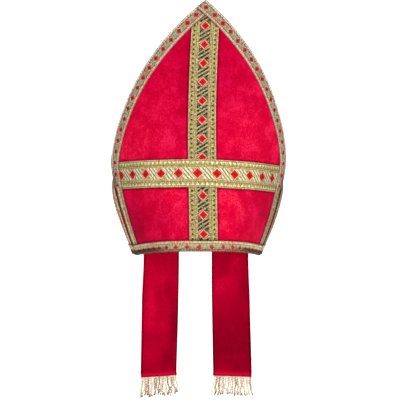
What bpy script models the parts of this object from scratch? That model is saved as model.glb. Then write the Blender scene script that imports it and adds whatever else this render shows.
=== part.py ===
"""A bishop's mitre in crimson velvet with gold braid, standing open as on a head.

Metres, +Z up. The front faces -Y, and left and right are as seen from the front. The origin is
the middle of the head opening, in the plane of the rim's two side corners.

Each panel is a cloth laid out flat in two lengths: s, along the cloth from the panel's middle
line, and z, the height. A panel's section at height z turns from square across the middle to
its side angle, and x and y follow by adding up the cosine and sine of the turning along s.
"""

import math

import bmesh
import bpy
import numpy as np
from mathutils import Matrix

# Heights of the whole hat.
TIP_HEIGHT = 0.3500
SEAM_TOP = 0.095  # the side seams close the panels up to here
RIM_RISE = 0.0061  # the rim arches up by this much at the front and the back
HORN_LEAN = 0.0066  # the tips stand this far to the right, and less with the square of height

# Front panel: its middle line, how it turns to the sides, and how wide it is cut.
FRONT_RIM_Y = -0.1088
FRONT_TIP_Y = -0.0586
FRONT_RIM_ANGLE = math.radians(66.2)
FRONT_TIP_ANGLE = math.radians(39.3)
ANGLE_FALLS_EARLY = 0.5  # how much faster the angle falls at the rim than on the whole
RIM_TURN_LENGTH = 0.0887  # of cloth, over which the section turns to its side angle
TOP_TURN_LENGTH = 0.1637
TURN_SETTLES_AT = 0.2014  # the height from which the turn length no longer grows
RIM_HALF_CLOTH = 0.1482
SEAM_HALF_CLOTH = 0.1547
SEAM_CLOTH_HEIGHT = 0.1068

# The pointed arch in the flat cloth: one arc each side, with its centre across the middle.
ARCH_RADIUS = 0.5362
ARCH_CENTRE_Z = -0.0595
SHOULDER_SOFTNESS = 0.003  # rounds the corner where the side meets the arch

# Back panel: a shallow arc over the middle, a rounder one, and a straight strip at the seam.
BACK_RIM_Y = 0.078
BACK_TIP_Y = 0.068
BACK_MIDDLE_TURN = math.radians(30)
BACK_RIM_ANGLE = math.radians(106)
BACK_SEAM_ANGLE = math.radians(115)
BACK_HORN_ANGLE = math.radians(52)
BACK_ANGLE_HEIGHT = 0.114
BACK_ANGLE_SPAN = 0.010
BACK_ARCH_START = 0.109  # from here up, over the next length, the back's cut joins the front's
BACK_ARCH_EASE = 0.0475
SEAM_STRIP = 0.015
HORN_GAP = 0.006  # how far the horns' edges draw apart by themselves above the seam
HORN_GAP_SPAN = 0.050

# Cloth and braid.
VELVET_WALL = 0.0020
BRAID_WALL = 0.0010
GAP = 0.0003
SEAM_INSET = 0.0007  # keeps the two walls apart where they meet at an angle
NARROW_BRAID = 0.0165
RIM_BRAID = 0.0140  # the rim's own, of the same weave
WIDE_BRAID = 0.0373
CROSS_BAND_MIDDLE = 0.1090
CROSS_BAND_SLOPE = -0.0114  # it is sewn on a little lower on the right
UPRIGHT_WANDER = 0.0015  # the upright band is sewn on a little to the right at its ends
UPRIGHT_WANDER_LENGTH = 0.40
CROSS_BAND_STEP = 0.006  # of cloth, over which the cross band climbs onto the upright one

# Lappets and fringes.
LAPPET_WIDTH = 0.059
LAPPET_WALL = 0.0018
LAPPET_MIDDLE = 0.0543  # from the back's middle line, along the cloth
LAPPET_TOP = 0.016  # the sewn end, inside the rim
LAPPET_HEM = -0.178
LAPPET_FREE_FALL = 0.070  # below the rim, until the lappet no longer follows the rim's curve
FRINGE_HEAD = 0.004
FRINGE_HEAD_WALL = 0.0024
FRINGE_LENGTH = 0.030
FRINGE_LOCKS = 11
FRINGE_LOCK_GAP = 0.0010
LOCK_STEPS = 3
LOCK_SPLAY = 0.0012  # outwards at each step, for the outermost lock
LOCK_SWAY = 0.0003
LOCK_TAPER = 0.72

# Fineness of the facets.
PANEL_ROWS = np.concatenate([
    np.linspace(0, 0.075, 6),  # the sides
    np.linspace(0.086, 0.150, 9),  # the seam's top and the arch's shoulder
    np.linspace(0.170, TIP_HEIGHT, 8),  # the horn
])
PANEL_COLUMNS = 32
FRONT_CROWDING = -0.35  # draws the panel's columns to the middle, or above zero to the sides
BACK_CROWDING = 0.35
RIM_BRAID_ROWS = 2
BORDER_ROWS = 40
FRONT_BORDER_COLUMNS = 2
BACK_BORDER_COLUMNS = 4
BORDER_FOOT_POWER = 8  # how soon the border's rows leave the rim braid's line for square across
UPRIGHT_BAND_CELLS = (20, 4)
CROSS_BAND_CELLS = (2, 50)
LAPPET_CELLS = (17, 5)
SHARP_ANGLE = math.radians(40)

# Fineness of the sums and searches.
SECTION_STEPS = 32
HALVINGS = 30
OUTLINE_SAMPLES = 800
OUTLINE_PAST_TIP = 0.050
BORDER_ENDS_BELOW_TIP = 0.080
BORDER_ENDS_ABOVE_TIP = 0.030
TINY = 1e-5

# Finishes: linear colour and roughness.
FINISHES = {
    "crimson_velvet": {"colour": (0.64, 0.004, 0.035), "roughness": 0.85},
    "narrow_gold_braid": {"colour": (0.45, 0.33, 0.22), "roughness": 0.5},
    "wide_gold_galloon": {"colour": (0.48, 0.37, 0.17), "roughness": 0.5},
    "cream_gold_fringe": {"colour": (0.75, 0.62, 0.42), "roughness": 0.7},
}

LEFT = -1
RIGHT = 1

PARTS = bpy.data.collections.new("bishop_mitre")


def clear_scene():
    for thing in list(bpy.data.objects):
        bpy.data.objects.remove(thing, do_unlink=True)
    bpy.context.scene.collection.children.link(PARTS)


def material(name):
    """A Principled finish of one colour."""
    finish = FINISHES[name]
    made = bpy.data.materials.new(name)
    made.use_nodes = True
    shader = made.node_tree.nodes["Principled BSDF"]
    shader.inputs["Base Color"].default_value = (*finish["colour"], 1)
    shader.inputs["Roughness"].default_value = finish["roughness"]
    shader.inputs["Metallic"].default_value = 0
    made.diffuse_color = (*finish["colour"], 1)
    return made


def ease(t):
    """Goes from 0 to 1 with no corner at either end."""
    t = np.clip(t, 0, 1)
    return t * t * (3 - 2 * t)


# ---------------------------------------------------------------- the front's section


def front_nose(z):
    return FRONT_RIM_Y + (FRONT_TIP_Y - FRONT_RIM_Y) * z / TIP_HEIGHT


def front_side_angle(z):
    """Falls from the rim's angle to the tip's, faster low down."""
    rise = z / TIP_HEIGHT
    fallen = rise * (1 + ANGLE_FALLS_EARLY * (1 - rise))
    return FRONT_RIM_ANGLE + (FRONT_TIP_ANGLE - FRONT_RIM_ANGLE) * fallen


def front_turn_length(z):
    left = 1 - np.minimum(z, TURN_SETTLES_AT) / TURN_SETTLES_AT
    return TOP_TURN_LENGTH + (RIM_TURN_LENGTH - TOP_TURN_LENGTH) * left**2


def front_section(s, z):
    """x and y at s along the cloth: the angle is the side angle times the sine of s's share."""
    steps = (np.arange(SECTION_STEPS) + 0.5) / SECTION_STEPS
    along = s[..., None] * steps
    share = np.minimum(1, along / front_turn_length(z)[..., None])
    angle = front_side_angle(z)[..., None] * np.sin(math.pi / 2 * share)
    return s * np.cos(angle).mean(-1), front_nose(z) + s * np.sin(angle).mean(-1)


def side_line(z):
    """Half the width of the front's cloth, with no arch cut from it."""
    return RIM_HALF_CLOTH + (SEAM_HALF_CLOTH - RIM_HALF_CLOTH) * z / SEAM_CLOTH_HEIGHT


def front_half_cloth(z):
    """The smaller of the side line and the arch's arc, with the corner between them rounded.

    Past the tip it is below zero, which carries a braid's edge across to the other side.
    """
    centre = -math.sqrt(ARCH_RADIUS**2 - (TIP_HEIGHT - ARCH_CENTRE_Z) ** 2)
    arch = centre + np.sqrt(ARCH_RADIUS**2 - (z - ARCH_CENTRE_Z) ** 2)
    lower = np.minimum(side_line(z), arch)
    softened = np.exp((lower - side_line(z)) / SHOULDER_SOFTNESS)
    softened = softened + np.exp((lower - arch) / SHOULDER_SOFTNESS)
    return lower - SHOULDER_SOFTNESS * np.log(softened)


# ---------------------------------------------------------------- the back's section


def back_nose(z):
    return BACK_RIM_Y + (BACK_TIP_Y - BACK_RIM_Y) * z / TIP_HEIGHT


def back_side_angle(z):
    """Past square at the seam, so that the back's braid shows beside it, and less on the horn."""
    low = BACK_RIM_ANGLE + (BACK_SEAM_ANGLE - BACK_RIM_ANGLE) * np.clip(z / SEAM_TOP, 0, 1)
    fall = 1 / (1 + np.exp((z - BACK_ANGLE_HEIGHT) / BACK_ANGLE_SPAN))
    return BACK_HORN_ANGLE + (low - BACK_HORN_ANGLE) * fall


def back_arcs(z):
    """The radii of the middle arc and of the side arc that close the back onto the seam.

    Two equations, one for the width and one for the depth, are linear in the two radii.
    """
    seam_x, seam_y = front_section(side_line(z), z)
    above = np.maximum(0, z - SEAM_TOP) / HORN_GAP_SPAN
    seam_y = seam_y + HORN_GAP * (1 - np.exp(-(above**2)))
    turn, side = BACK_MIDDLE_TURN, back_side_angle(z)
    width = seam_x - SEAM_STRIP * np.cos(side)
    depth = back_nose(z) - seam_y - SEAM_STRIP * np.sin(side)
    a, b = math.sin(turn), np.sin(side) - math.sin(turn)
    c, d = 1 - math.cos(turn), math.cos(turn) - np.cos(side)
    return (width * d - b * depth) / (a * d - b * c), (a * depth - width * c) / (a * d - b * c)


def back_full_cloth(z):
    middle, side = back_arcs(z)
    return middle * BACK_MIDDLE_TURN + side * (back_side_angle(z) - BACK_MIDDLE_TURN) + SEAM_STRIP


def back_section(s, z):
    """x and y at s along the cloth: a shallow arc, then a rounder arc, then a straight strip."""
    middle, side = back_arcs(z)
    end = back_side_angle(z)
    first = np.minimum(s, middle * BACK_MIDDLE_TURN) / middle
    second = np.maximum(0, s - middle * BACK_MIDDLE_TURN) / side
    second = np.minimum(second, end - BACK_MIDDLE_TURN)
    angle = BACK_MIDDLE_TURN + second
    rest = np.maximum(0, s - middle * BACK_MIDDLE_TURN - side * (end - BACK_MIDDLE_TURN))
    x = middle * np.sin(first) + side * (np.sin(angle) - math.sin(BACK_MIDDLE_TURN))
    y = middle * (1 - np.cos(first)) + side * (math.cos(BACK_MIDDLE_TURN) - np.cos(angle))
    return x + rest * np.cos(end), back_nose(z) - y - rest * np.sin(end)


def back_half_cloth(z):
    """The whole cloth up to the arch's start, and above it the front's outline in front view."""
    full = back_full_cloth(z)
    wanted = front_section(np.abs(front_half_cloth(z)), z)[0]
    low, high = np.zeros_like(z), full.copy()
    for _ in range(HALVINGS):
        half = (low + high) / 2
        inside = back_section(half, z)[0] < wanted
        low, high = np.where(inside, half, low), np.where(inside, high, half)
    arch = ease((z - BACK_ARCH_START) / BACK_ARCH_EASE)
    return (full * (1 - arch) + low * arch) * np.sign(front_half_cloth(z))


# ---------------------------------------------------------------- points on a panel

FRONT = {
    "section": front_section,
    "half_cloth": front_half_cloth,
    "outward": 1,
    "crowding": FRONT_CROWDING,
    "border_columns": FRONT_BORDER_COLUMNS,
}
BACK = {
    "section": back_section,
    "half_cloth": back_half_cloth,
    "outward": -1,
    "crowding": BACK_CROWDING,
    "border_columns": BACK_BORDER_COLUMNS,
}


def flat_to_space(panel, s, z):
    """The surface point at s, which is negative on the left, and at height z."""
    s, z = np.broadcast_arrays(np.asarray(s, float), np.asarray(z, float))
    x, y = panel["section"](np.abs(s), z)
    lean = HORN_LEAN * (z / TIP_HEIGHT) ** 2
    return np.stack([np.where(s < 0, -x, x) + lean, y, z], -1)


def on_panel(panel, s, z, lift=0.0):
    """A point that stands off the panel's outer face by lift, along the face's normal."""
    here = flat_to_space(panel, s, z)
    across = flat_to_space(panel, s + TINY, z) - flat_to_space(panel, s - TINY, z)
    up = flat_to_space(panel, s, z + TINY) - flat_to_space(panel, s, z - TINY)
    normal = np.cross(across, up) * panel["outward"]
    normal = normal / np.linalg.norm(normal, axis=-1, keepdims=True)
    return here + normal * np.asarray(lift)[..., None]


def rim_height(share):
    """The rim's height at a share of the half width: a parabola, highest in the middle."""
    return RIM_RISE * (1 - share**2)


def edge_offset(panel, z, inset):
    """The panel's outline in the flat cloth at height z, moved in square to itself by inset."""
    half_cloth = panel["half_cloth"]
    slope = (half_cloth(z + TINY) - half_cloth(z - TINY)) / (2 * TINY)
    length = np.sqrt(1 + slope**2)
    return half_cloth(z) - inset / length, z + inset * slope / length


def inset_outline(panel, inset):
    """The outline moved in by inset, as s and z from the rim to past the tip."""
    heights = np.linspace(0, TIP_HEIGHT + OUTLINE_PAST_TIP, OUTLINE_SAMPLES)
    return edge_offset(panel, heights, inset)


# ---------------------------------------------------------------- sheets with a wall


def sheet(name, grid, wall, finish, outward=False):
    """A grid of points as an open surface, given a wall on its inner or its outer side."""
    rows, columns = grid.shape[:2]
    shape = bmesh.new()
    bmesh.ops.create_grid(shape, x_segments=columns - 1, y_segments=rows - 1, size=1)
    for vertex in shape.verts:
        column = round((vertex.co.x + 1) / 2 * (columns - 1))
        row = round((vertex.co.y + 1) / 2 * (rows - 1))
        vertex.co = grid[row, column]
    bmesh.ops.remove_doubles(shape, verts=shape.verts, dist=TINY)
    bmesh.ops.dissolve_degenerate(shape, edges=shape.edges, dist=TINY)
    made = finish_mesh(name, shape, finish)
    solidify = made.modifiers.new("wall", "SOLIDIFY")
    solidify.thickness = wall
    solidify.offset = 1 if outward else -1
    return made


def finish_mesh(name, shape, finish):
    mesh = bpy.data.meshes.new(name)
    shape.to_mesh(mesh)
    shape.free()
    mesh.materials.append(finish)
    mesh.shade_smooth()
    mesh.set_sharp_from_angle(angle=SHARP_ANGLE)
    made = bpy.data.objects.new(name, mesh)
    PARTS.objects.link(made)
    return made


def facing_out(panel, grid):
    """Turns the columns round on the back, so that the surface faces out there too."""
    return grid if panel is FRONT else grid[:, ::-1]


def column_shares(panel):
    """From -1 to 1 across a panel, closest together where its section bends most."""
    share = np.linspace(-1, 1, PANEL_COLUMNS + 1)[None, :]
    return share * (1 + panel["crowding"] * (1 - np.abs(share)))


def velvet_panel(name, panel, finish):
    """The whole panel, from the rim's arch to the tip, where its rows close to a point."""
    crowded = column_shares(panel)
    rim = rim_height(crowded)
    z = rim * (1 - PANEL_ROWS[:, None] / TIP_HEIGHT) + PANEL_ROWS[:, None]
    half = np.maximum(0, panel["half_cloth"](z) - SEAM_INSET)
    grid = on_panel(panel, crowded * half, z)
    grid[-1] = grid[-1, PANEL_COLUMNS // 2]
    return sheet(name, facing_out(panel, grid), VELVET_WALL, finish)


def rim_braid(name, panel, finish):
    """The braid round the lower edge, from seam to seam."""
    crowded = column_shares(panel)
    rise = np.linspace(0, 1, RIM_BRAID_ROWS + 1)[:, None]
    z = rim_height(crowded) + RIM_BRAID * rise
    grid = on_panel(panel, crowded * (panel["half_cloth"](z) - GAP / 2), z, GAP)
    return sheet(name, facing_out(panel, grid), BRAID_WALL, finish, outward=True)


def border_end(panel, inset, limit):
    """How far up the outline a braid's line at this inset runs before it reaches the limit."""
    lowest, highest = TIP_HEIGHT - BORDER_ENDS_BELOW_TIP, TIP_HEIGHT + BORDER_ENDS_ABOVE_TIP
    heights = np.linspace(lowest, highest, OUTLINE_SAMPLES)
    s, z = edge_offset(panel, heights, inset)
    past = s + limit(z)
    return np.interp(0, -past, heights)


def edge_border(name, panel, side, finish):
    """The braid up one side and along one arch. At the tip the right one lies over the left."""
    bottom = RIM_BRAID + GAP
    inner_s, inner_z = inset_outline(panel, NARROW_BRAID + GAP)

    def right_inner_edge(z):
        return np.interp(z, inner_z, inner_s)

    limit = panel["half_cloth"] if side == RIGHT else right_inner_edge
    rise = np.linspace(0, 1, BORDER_ROWS + 1)
    columns = []
    for inset in np.linspace(0, NARROW_BRAID, panel["border_columns"] + 1):
        end = border_end(panel, inset, limit)
        s, z = edge_offset(panel, bottom + (end - bottom) * rise, inset + GAP / 2)
        lowest = rim_height(s / panel["half_cloth"](z)) + bottom
        z = z + (lowest[0] - z[0]) * (1 - rise) ** BORDER_FOOT_POWER
        columns.append(on_panel(panel, side * s, z, GAP))
    grid = np.stack(columns, 1)
    if (side == RIGHT) == (panel is FRONT):
        grid = grid[:, ::-1]
    return sheet(name, grid, BRAID_WALL, finish, outward=True)


def upright_middle(z):
    """The s of the upright band's middle line at height z."""
    return UPRIGHT_WANDER * np.cos(2 * math.pi * z / UPRIGHT_WANDER_LENGTH)


def upright_band(name, finish):
    """The wide braid up the front's middle, from the rim's braid to the arch's."""
    rows, columns = UPRIGHT_BAND_CELLS
    across = np.linspace(-WIDE_BRAID / 2, WIDE_BRAID / 2, columns + 1)[None, :]
    rise = np.linspace(0, 1, rows + 1)[:, None]
    inner_s, inner_z = inset_outline(FRONT, NARROW_BRAID + GAP)
    top = np.interp(-np.abs(across), -inner_s, inner_z)
    top = np.interp(-np.abs(across + upright_middle(top)), -inner_s, inner_z)
    bottom = rim_height((across + upright_middle(0)) / RIM_HALF_CLOTH) + RIM_BRAID + GAP
    z = bottom + (top - bottom) * rise
    grid = on_panel(FRONT, across + upright_middle(z), z, GAP)
    return sheet(name, grid, BRAID_WALL, finish, outward=True)


def cross_band(name, finish):
    """The wide braid across the front, which climbs over the upright one in the middle."""
    rows, columns = CROSS_BAND_CELLS
    rise = np.linspace(-1, 1, rows + 1)[:, None]
    share = np.linspace(-1, 1, columns + 1)[None, :]
    z = CROSS_BAND_MIDDLE + WIDE_BRAID / 2 * rise + CROSS_BAND_SLOPE * SEAM_HALF_CLOTH * share
    inner_s, inner_z = inset_outline(FRONT, NARROW_BRAID + 2 * GAP)
    s = share * np.interp(z, inner_z, inner_s)
    climb = ease((WIDE_BRAID / 2 + 2 * CROSS_BAND_STEP - np.abs(s)) / CROSS_BAND_STEP)
    lift = GAP + climb * (BRAID_WALL + GAP)
    return sheet(name, on_panel(FRONT, s, z, lift), BRAID_WALL, finish, outward=True)


# ---------------------------------------------------------------- lappets and fringes

# How each lappet hangs: side, turn to the viewer at the hem in degrees, drift outwards at the
# hem, and the depth and length of its lengthwise wave.
LAPPETS = (
    {"side": LEFT, "turn": 25, "drift": 0.0018, "wave": 0.0030, "wave_length": 0.150},
    {"side": RIGHT, "turn": -21, "drift": 0.0029, "wave": 0.0025, "wave_length": 0.170},
)


def lappet_point(lappet, across, z):
    """A point of the lappet's back face, across from -1 to 1 and at height z.

    Inside the rim it follows the wall. Below the rim that curve eases into a straight line
    across, which drifts, turns and waves a little on its way down.
    """
    side = lappet["side"]
    s = side * LAPPET_MIDDLE + across * LAPPET_WIDTH / 2
    held = on_panel(BACK, s, np.maximum(z, 0), -(VELVET_WALL + GAP))
    held[..., 2] = z
    down = np.maximum(0, -z)
    fall = ease(down / LAPPET_FREE_FALL)
    length = down / -LAPPET_HEM
    middle = on_panel(BACK, np.full_like(z, side * LAPPET_MIDDLE), np.zeros_like(z),
                      -(VELVET_WALL + GAP))
    start = back_slope(side)
    turn = start + (math.radians(lappet["turn"]) - start) * ease(length)
    wave = lappet["wave"] * np.sin(2 * math.pi * down / lappet["wave_length"])
    x = middle[..., 0] + side * lappet["drift"] * length**2
    y = middle[..., 1] + wave
    hung = np.stack([x + across * LAPPET_WIDTH / 2 * np.cos(turn),
                     y + across * LAPPET_WIDTH / 2 * np.sin(turn), z], -1)
    return held + (hung - held) * fall[..., None]


def back_slope(side):
    """The angle of the back's rim at the lappet's middle, from straight across."""
    s = side * LAPPET_MIDDLE
    ends = flat_to_space(BACK, np.array([s - TINY, s + TINY]), np.zeros(2))
    return math.atan2(ends[1, 1] - ends[0, 1], ends[1, 0] - ends[0, 0])


def lappet_sheet(name, lappet, finish):
    rows, columns = LAPPET_CELLS
    across = np.linspace(-1, 1, columns + 1)[None, :]
    z = np.linspace(LAPPET_HEM, LAPPET_TOP, rows + 1)[:, None]
    grid = lappet_point(lappet, across + 0 * z, z + 0 * across)
    return sheet(name, grid, LAPPET_WALL, finish, outward=True)


def fringe_head(lappet):
    """The rings of the head's corners, which end at each lock's two sides, and its directions."""
    cells = 2 * FRINGE_LOCKS - 1
    lock = (LAPPET_WIDTH - (FRINGE_LOCKS - 1) * FRINGE_LOCK_GAP) / FRINGE_LOCKS
    widths = np.where(np.arange(cells) % 2 == 0, lock, FRINGE_LOCK_GAP)
    places = np.concatenate([[0], np.cumsum(widths)]) / LAPPET_WIDTH * 2 - 1
    hem = lappet_point(lappet, places, np.full_like(places, LAPPET_HEM))
    along = (hem[-1] - hem[0]) / np.linalg.norm(hem[-1] - hem[0])
    through = np.cross(along, (0, 0, 1))
    front = hem + through * (LAPPET_WALL + FRINGE_HEAD_WALL) / 2 - (0, 0, GAP)
    back = front - through * FRINGE_HEAD_WALL
    foot = np.array([0, 0, -FRINGE_HEAD])
    return np.stack([front, back, back + foot, front + foot], 1), along, through


def draw_lock(shape, face, number, along, through):
    """Draws one lock down out of its face of the head, splayed, swayed and tapered."""
    drop = (FRINGE_LENGTH - FRINGE_HEAD) / LOCK_STEPS
    out = (number + 0.5) / FRINGE_LOCKS * 2 - 1
    for step in range(LOCK_STEPS):
        face = bmesh.ops.extrude_discrete_faces(shape, faces=[face])["faces"][0]
        sideways = LOCK_SPLAY * out * (step + 1) + LOCK_SWAY * math.sin(number + step)
        shift = along * sideways + through * LOCK_SWAY * math.cos(2 * number + step)
        bmesh.ops.translate(shape, verts=face.verts, vec=tuple(shift - (0, 0, drop)))
    end = Matrix.Translation(-face.calc_center_median())
    bmesh.ops.scale(shape, verts=face.verts, vec=(LOCK_TAPER, LOCK_TAPER, 1), space=end)


def fringe(name, lappet, finish):
    """A head under the hem and, drawn out of its lower faces one by one, a row of locks."""
    corners, along, through = fringe_head(lappet)
    shape = bmesh.new()
    rings = [[shape.verts.new(tuple(corner)) for corner in ring] for ring in corners]
    lower = []
    for ring, other in zip(rings, rings[1:]):
        for i in range(4):
            j = (i + 1) % 4
            face = shape.faces.new((ring[i], ring[j], other[j], other[i]))
            if i == 2:
                lower.append(face)
    shape.faces.new(rings[0])
    shape.faces.new(reversed(rings[-1]))
    for number, face in enumerate(lower[::2]):
        draw_lock(shape, face, number, along, through)
    bmesh.ops.recalc_face_normals(shape, faces=shape.faces)
    return finish_mesh(name, shape, finish)


def main():
    clear_scene()
    velvet, narrow, wide, cream = (material(name) for name in FINISHES)
    for name, panel in (("front", FRONT), ("back", BACK)):
        velvet_panel(f"{name}_panel", panel, velvet)
        rim_braid(f"{name}_rim_braid", panel, narrow)
        edge_border(f"{name}_left_border", panel, LEFT, narrow)
        edge_border(f"{name}_right_border", panel, RIGHT, narrow)
    upright_band("upright_band", wide)
    cross_band("cross_band", wide)
    for name, lappet in zip(("left", "right"), LAPPETS):
        lappet_sheet(f"{name}_lappet", lappet, velvet)
        fringe(f"{name}_fringe", lappet, cream)


main()
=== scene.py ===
# %% [markdown]
# # A bishop's mitre in crimson velvet and gold braid
#
# A mitre is two stiffened panels, a front and a back, sewn together up the sides and left open
# at the top, so that they stand as two pointed horns. Gold braid covers their edges, a wide
# galloon makes a cross on the front, and two fringed strips called lappets hang from inside the
# back rim. Each of these is made here as what it is: a flat cloth bent round a head, and ribbons
# laid on that cloth.
#
# Metres, +Z up. The front faces -Y, and left and right are as seen from the front. The origin is
# the middle of the head opening, in the plane of the rim's two side corners.

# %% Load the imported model
import math

import bmesh
import bpy
import numpy as np
from mathutils import Matrix, Vector


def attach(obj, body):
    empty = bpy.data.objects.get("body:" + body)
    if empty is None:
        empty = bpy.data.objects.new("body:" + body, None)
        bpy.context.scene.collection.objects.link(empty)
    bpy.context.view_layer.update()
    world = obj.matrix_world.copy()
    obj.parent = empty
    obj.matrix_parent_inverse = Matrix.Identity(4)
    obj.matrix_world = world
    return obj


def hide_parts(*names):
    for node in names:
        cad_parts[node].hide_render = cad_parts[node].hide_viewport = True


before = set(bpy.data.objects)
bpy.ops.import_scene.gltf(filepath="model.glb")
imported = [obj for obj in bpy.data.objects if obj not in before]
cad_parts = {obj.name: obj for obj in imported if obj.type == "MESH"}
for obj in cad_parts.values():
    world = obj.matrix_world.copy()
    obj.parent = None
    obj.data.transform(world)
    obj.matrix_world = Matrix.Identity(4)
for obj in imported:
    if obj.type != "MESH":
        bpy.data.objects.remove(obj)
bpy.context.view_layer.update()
print("nodes:", ", ".join(sorted(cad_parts)))

# %% [markdown]
# ## The cloth's form
#
# A panel is easiest to think of as a flat cloth. A point on it has two numbers: s, the length
# along the cloth from the panel's middle line, and z, its height. All the sewing, such as where
# a braid lies, is worked out in the flat, where widths stay true, and one function then bends
# the flat cloth into space. Modelling the bent panel by hand would make every ribbon on it a
# guess.

# %% Sizes of the hat, in metres
TIP_HEIGHT = 0.3500
SEAM_TOP = 0.095  # the side seams close the panels up to here
RIM_RISE = 0.0061  # the rim arches up by this much at the front and the back
HORN_LEAN = 0.0066  # how far right the tips stand: it grows with the square of the height

FRONT_RIM_Y, FRONT_TIP_Y = -0.1088, -0.0586
FRONT_RIM_ANGLE, FRONT_TIP_ANGLE = math.radians(66.2), math.radians(39.3)
ANGLE_FALLS_EARLY = 0.5
RIM_TURN_LENGTH, TOP_TURN_LENGTH, TURN_SETTLES_AT = 0.0887, 0.1637, 0.2014
RIM_HALF_CLOTH, SEAM_HALF_CLOTH, SEAM_CLOTH_HEIGHT = 0.1482, 0.1547, 0.1068
ARCH_RADIUS, ARCH_CENTRE_Z, SHOULDER_SOFTNESS = 0.5362, -0.0595, 0.003

BACK_RIM_Y, BACK_TIP_Y = 0.078, 0.068
BACK_MIDDLE_TURN = math.radians(30)
BACK_RIM_ANGLE, BACK_SEAM_ANGLE = math.radians(106), math.radians(115)
BACK_HORN_ANGLE = math.radians(52)
BACK_ARCH_START, BACK_ARCH_EASE = 0.109, 0.0475
BACK_ANGLE_HEIGHT, BACK_ANGLE_SPAN = 0.114, 0.010
SEAM_STRIP, HORN_GAP, HORN_GAP_SPAN = 0.015, 0.006, 0.050

VELVET_WALL = 0.0020
NARROW_BRAID, RIM_BRAID, WIDE_BRAID = 0.0165, 0.0140, 0.0373
CROSS_BAND_MIDDLE, CROSS_BAND_SLOPE, CROSS_BAND_STEP = 0.1090, -0.0114, 0.006
UPRIGHT_WANDER, UPRIGHT_WANDER_LENGTH = 0.0015, 0.40
BRAID_WALL, GAP = 0.0010, 0.0003

SECTION_STEPS, HALVINGS, TINY = 32, 30, 1e-5
print("the hat stands", round(1000 * TIP_HEIGHT), "mm above its side corners")

# %% The front's section: a pointed nose with straight sides


def ease(t):
    """Goes from 0 to 1 with no corner at either end: three t squared less two t cubed."""
    t = np.clip(t, 0, 1)
    return t * t * (3 - 2 * t)


def front_nose(z):
    """The middle line's y, which leans back in a straight line from the rim to the tip."""
    return FRONT_RIM_Y + (FRONT_TIP_Y - FRONT_RIM_Y) * z / TIP_HEIGHT


def front_side_angle(z):
    """How far the section turns from square across: falls from rim to tip, faster low down."""
    rise = z / TIP_HEIGHT
    fallen = rise * (1 + ANGLE_FALLS_EARLY * (1 - rise))
    return FRONT_RIM_ANGLE + (FRONT_TIP_ANGLE - FRONT_RIM_ANGLE) * fallen


def front_turn_length(z):
    """The length of cloth over which it turns, which grows with height and then settles."""
    left = 1 - np.minimum(z, TURN_SETTLES_AT) / TURN_SETTLES_AT
    return TOP_TURN_LENGTH + (RIM_TURN_LENGTH - TOP_TURN_LENGTH) * left**2


def front_section(s, z):
    """x and y at s: the angle is the side angle times the sine of s's share of the turn.

    x adds up the cosine of the angle along the cloth, and y adds up its sine.
    """
    steps = (np.arange(SECTION_STEPS) + 0.5) / SECTION_STEPS
    share = np.minimum(1, s[..., None] * steps / front_turn_length(z)[..., None])
    angle = front_side_angle(z)[..., None] * np.sin(math.pi / 2 * share)
    return s * np.cos(angle).mean(-1), front_nose(z) + s * np.sin(angle).mean(-1)


def side_line(z):
    """Half the width of the front's cloth before the arch is cut: widens slowly upwards."""
    return RIM_HALF_CLOTH + (SEAM_HALF_CLOTH - RIM_HALF_CLOTH) * z / SEAM_CLOTH_HEIGHT


def front_half_cloth(z):
    """The smaller of the side line and the arch's arc, with the corner between them rounded.

    Past the tip it is below zero, which carries a braid's edge across to the other side.
    """
    centre = -math.sqrt(ARCH_RADIUS**2 - (TIP_HEIGHT - ARCH_CENTRE_Z) ** 2)
    arch = centre + np.sqrt(ARCH_RADIUS**2 - (z - ARCH_CENTRE_Z) ** 2)
    lower = np.minimum(side_line(z), arch)
    softened = np.exp((lower - side_line(z)) / SHOULDER_SOFTNESS)
    softened = softened + np.exp((lower - arch) / SHOULDER_SOFTNESS)
    return lower - SHOULDER_SOFTNESS * np.log(softened)


print("the front turns at the rim by, degrees:", round(math.degrees(front_side_angle(0)), 1))

# %% The back's section: a shallow arc, a rounder one, and a straight strip at the seam


def back_nose(z):
    """The back's middle line, nearly upright."""
    return BACK_RIM_Y + (BACK_TIP_Y - BACK_RIM_Y) * z / TIP_HEIGHT


def back_side_angle(z):
    """Past square at the seam, so the back's braid shows beside it, and less on the horn."""
    low = BACK_RIM_ANGLE + (BACK_SEAM_ANGLE - BACK_RIM_ANGLE) * np.clip(z / SEAM_TOP, 0, 1)
    fall = 1 / (1 + np.exp((z - BACK_ANGLE_HEIGHT) / BACK_ANGLE_SPAN))
    return BACK_HORN_ANGLE + (low - BACK_HORN_ANGLE) * fall


def back_arcs(z):
    """The two arcs' radii that end on the seam: width and depth give two linear equations."""
    seam_x, seam_y = front_section(side_line(z), z)
    above = np.maximum(0, z - SEAM_TOP) / HORN_GAP_SPAN
    seam_y = seam_y + HORN_GAP * (1 - np.exp(-(above**2)))
    turn, side = BACK_MIDDLE_TURN, back_side_angle(z)
    width = seam_x - SEAM_STRIP * np.cos(side)
    depth = back_nose(z) - seam_y - SEAM_STRIP * np.sin(side)
    a, b = math.sin(turn), np.sin(side) - math.sin(turn)
    c, d = 1 - math.cos(turn), math.cos(turn) - np.cos(side)
    return (width * d - b * depth) / (a * d - b * c), (a * depth - width * c) / (a * d - b * c)


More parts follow.
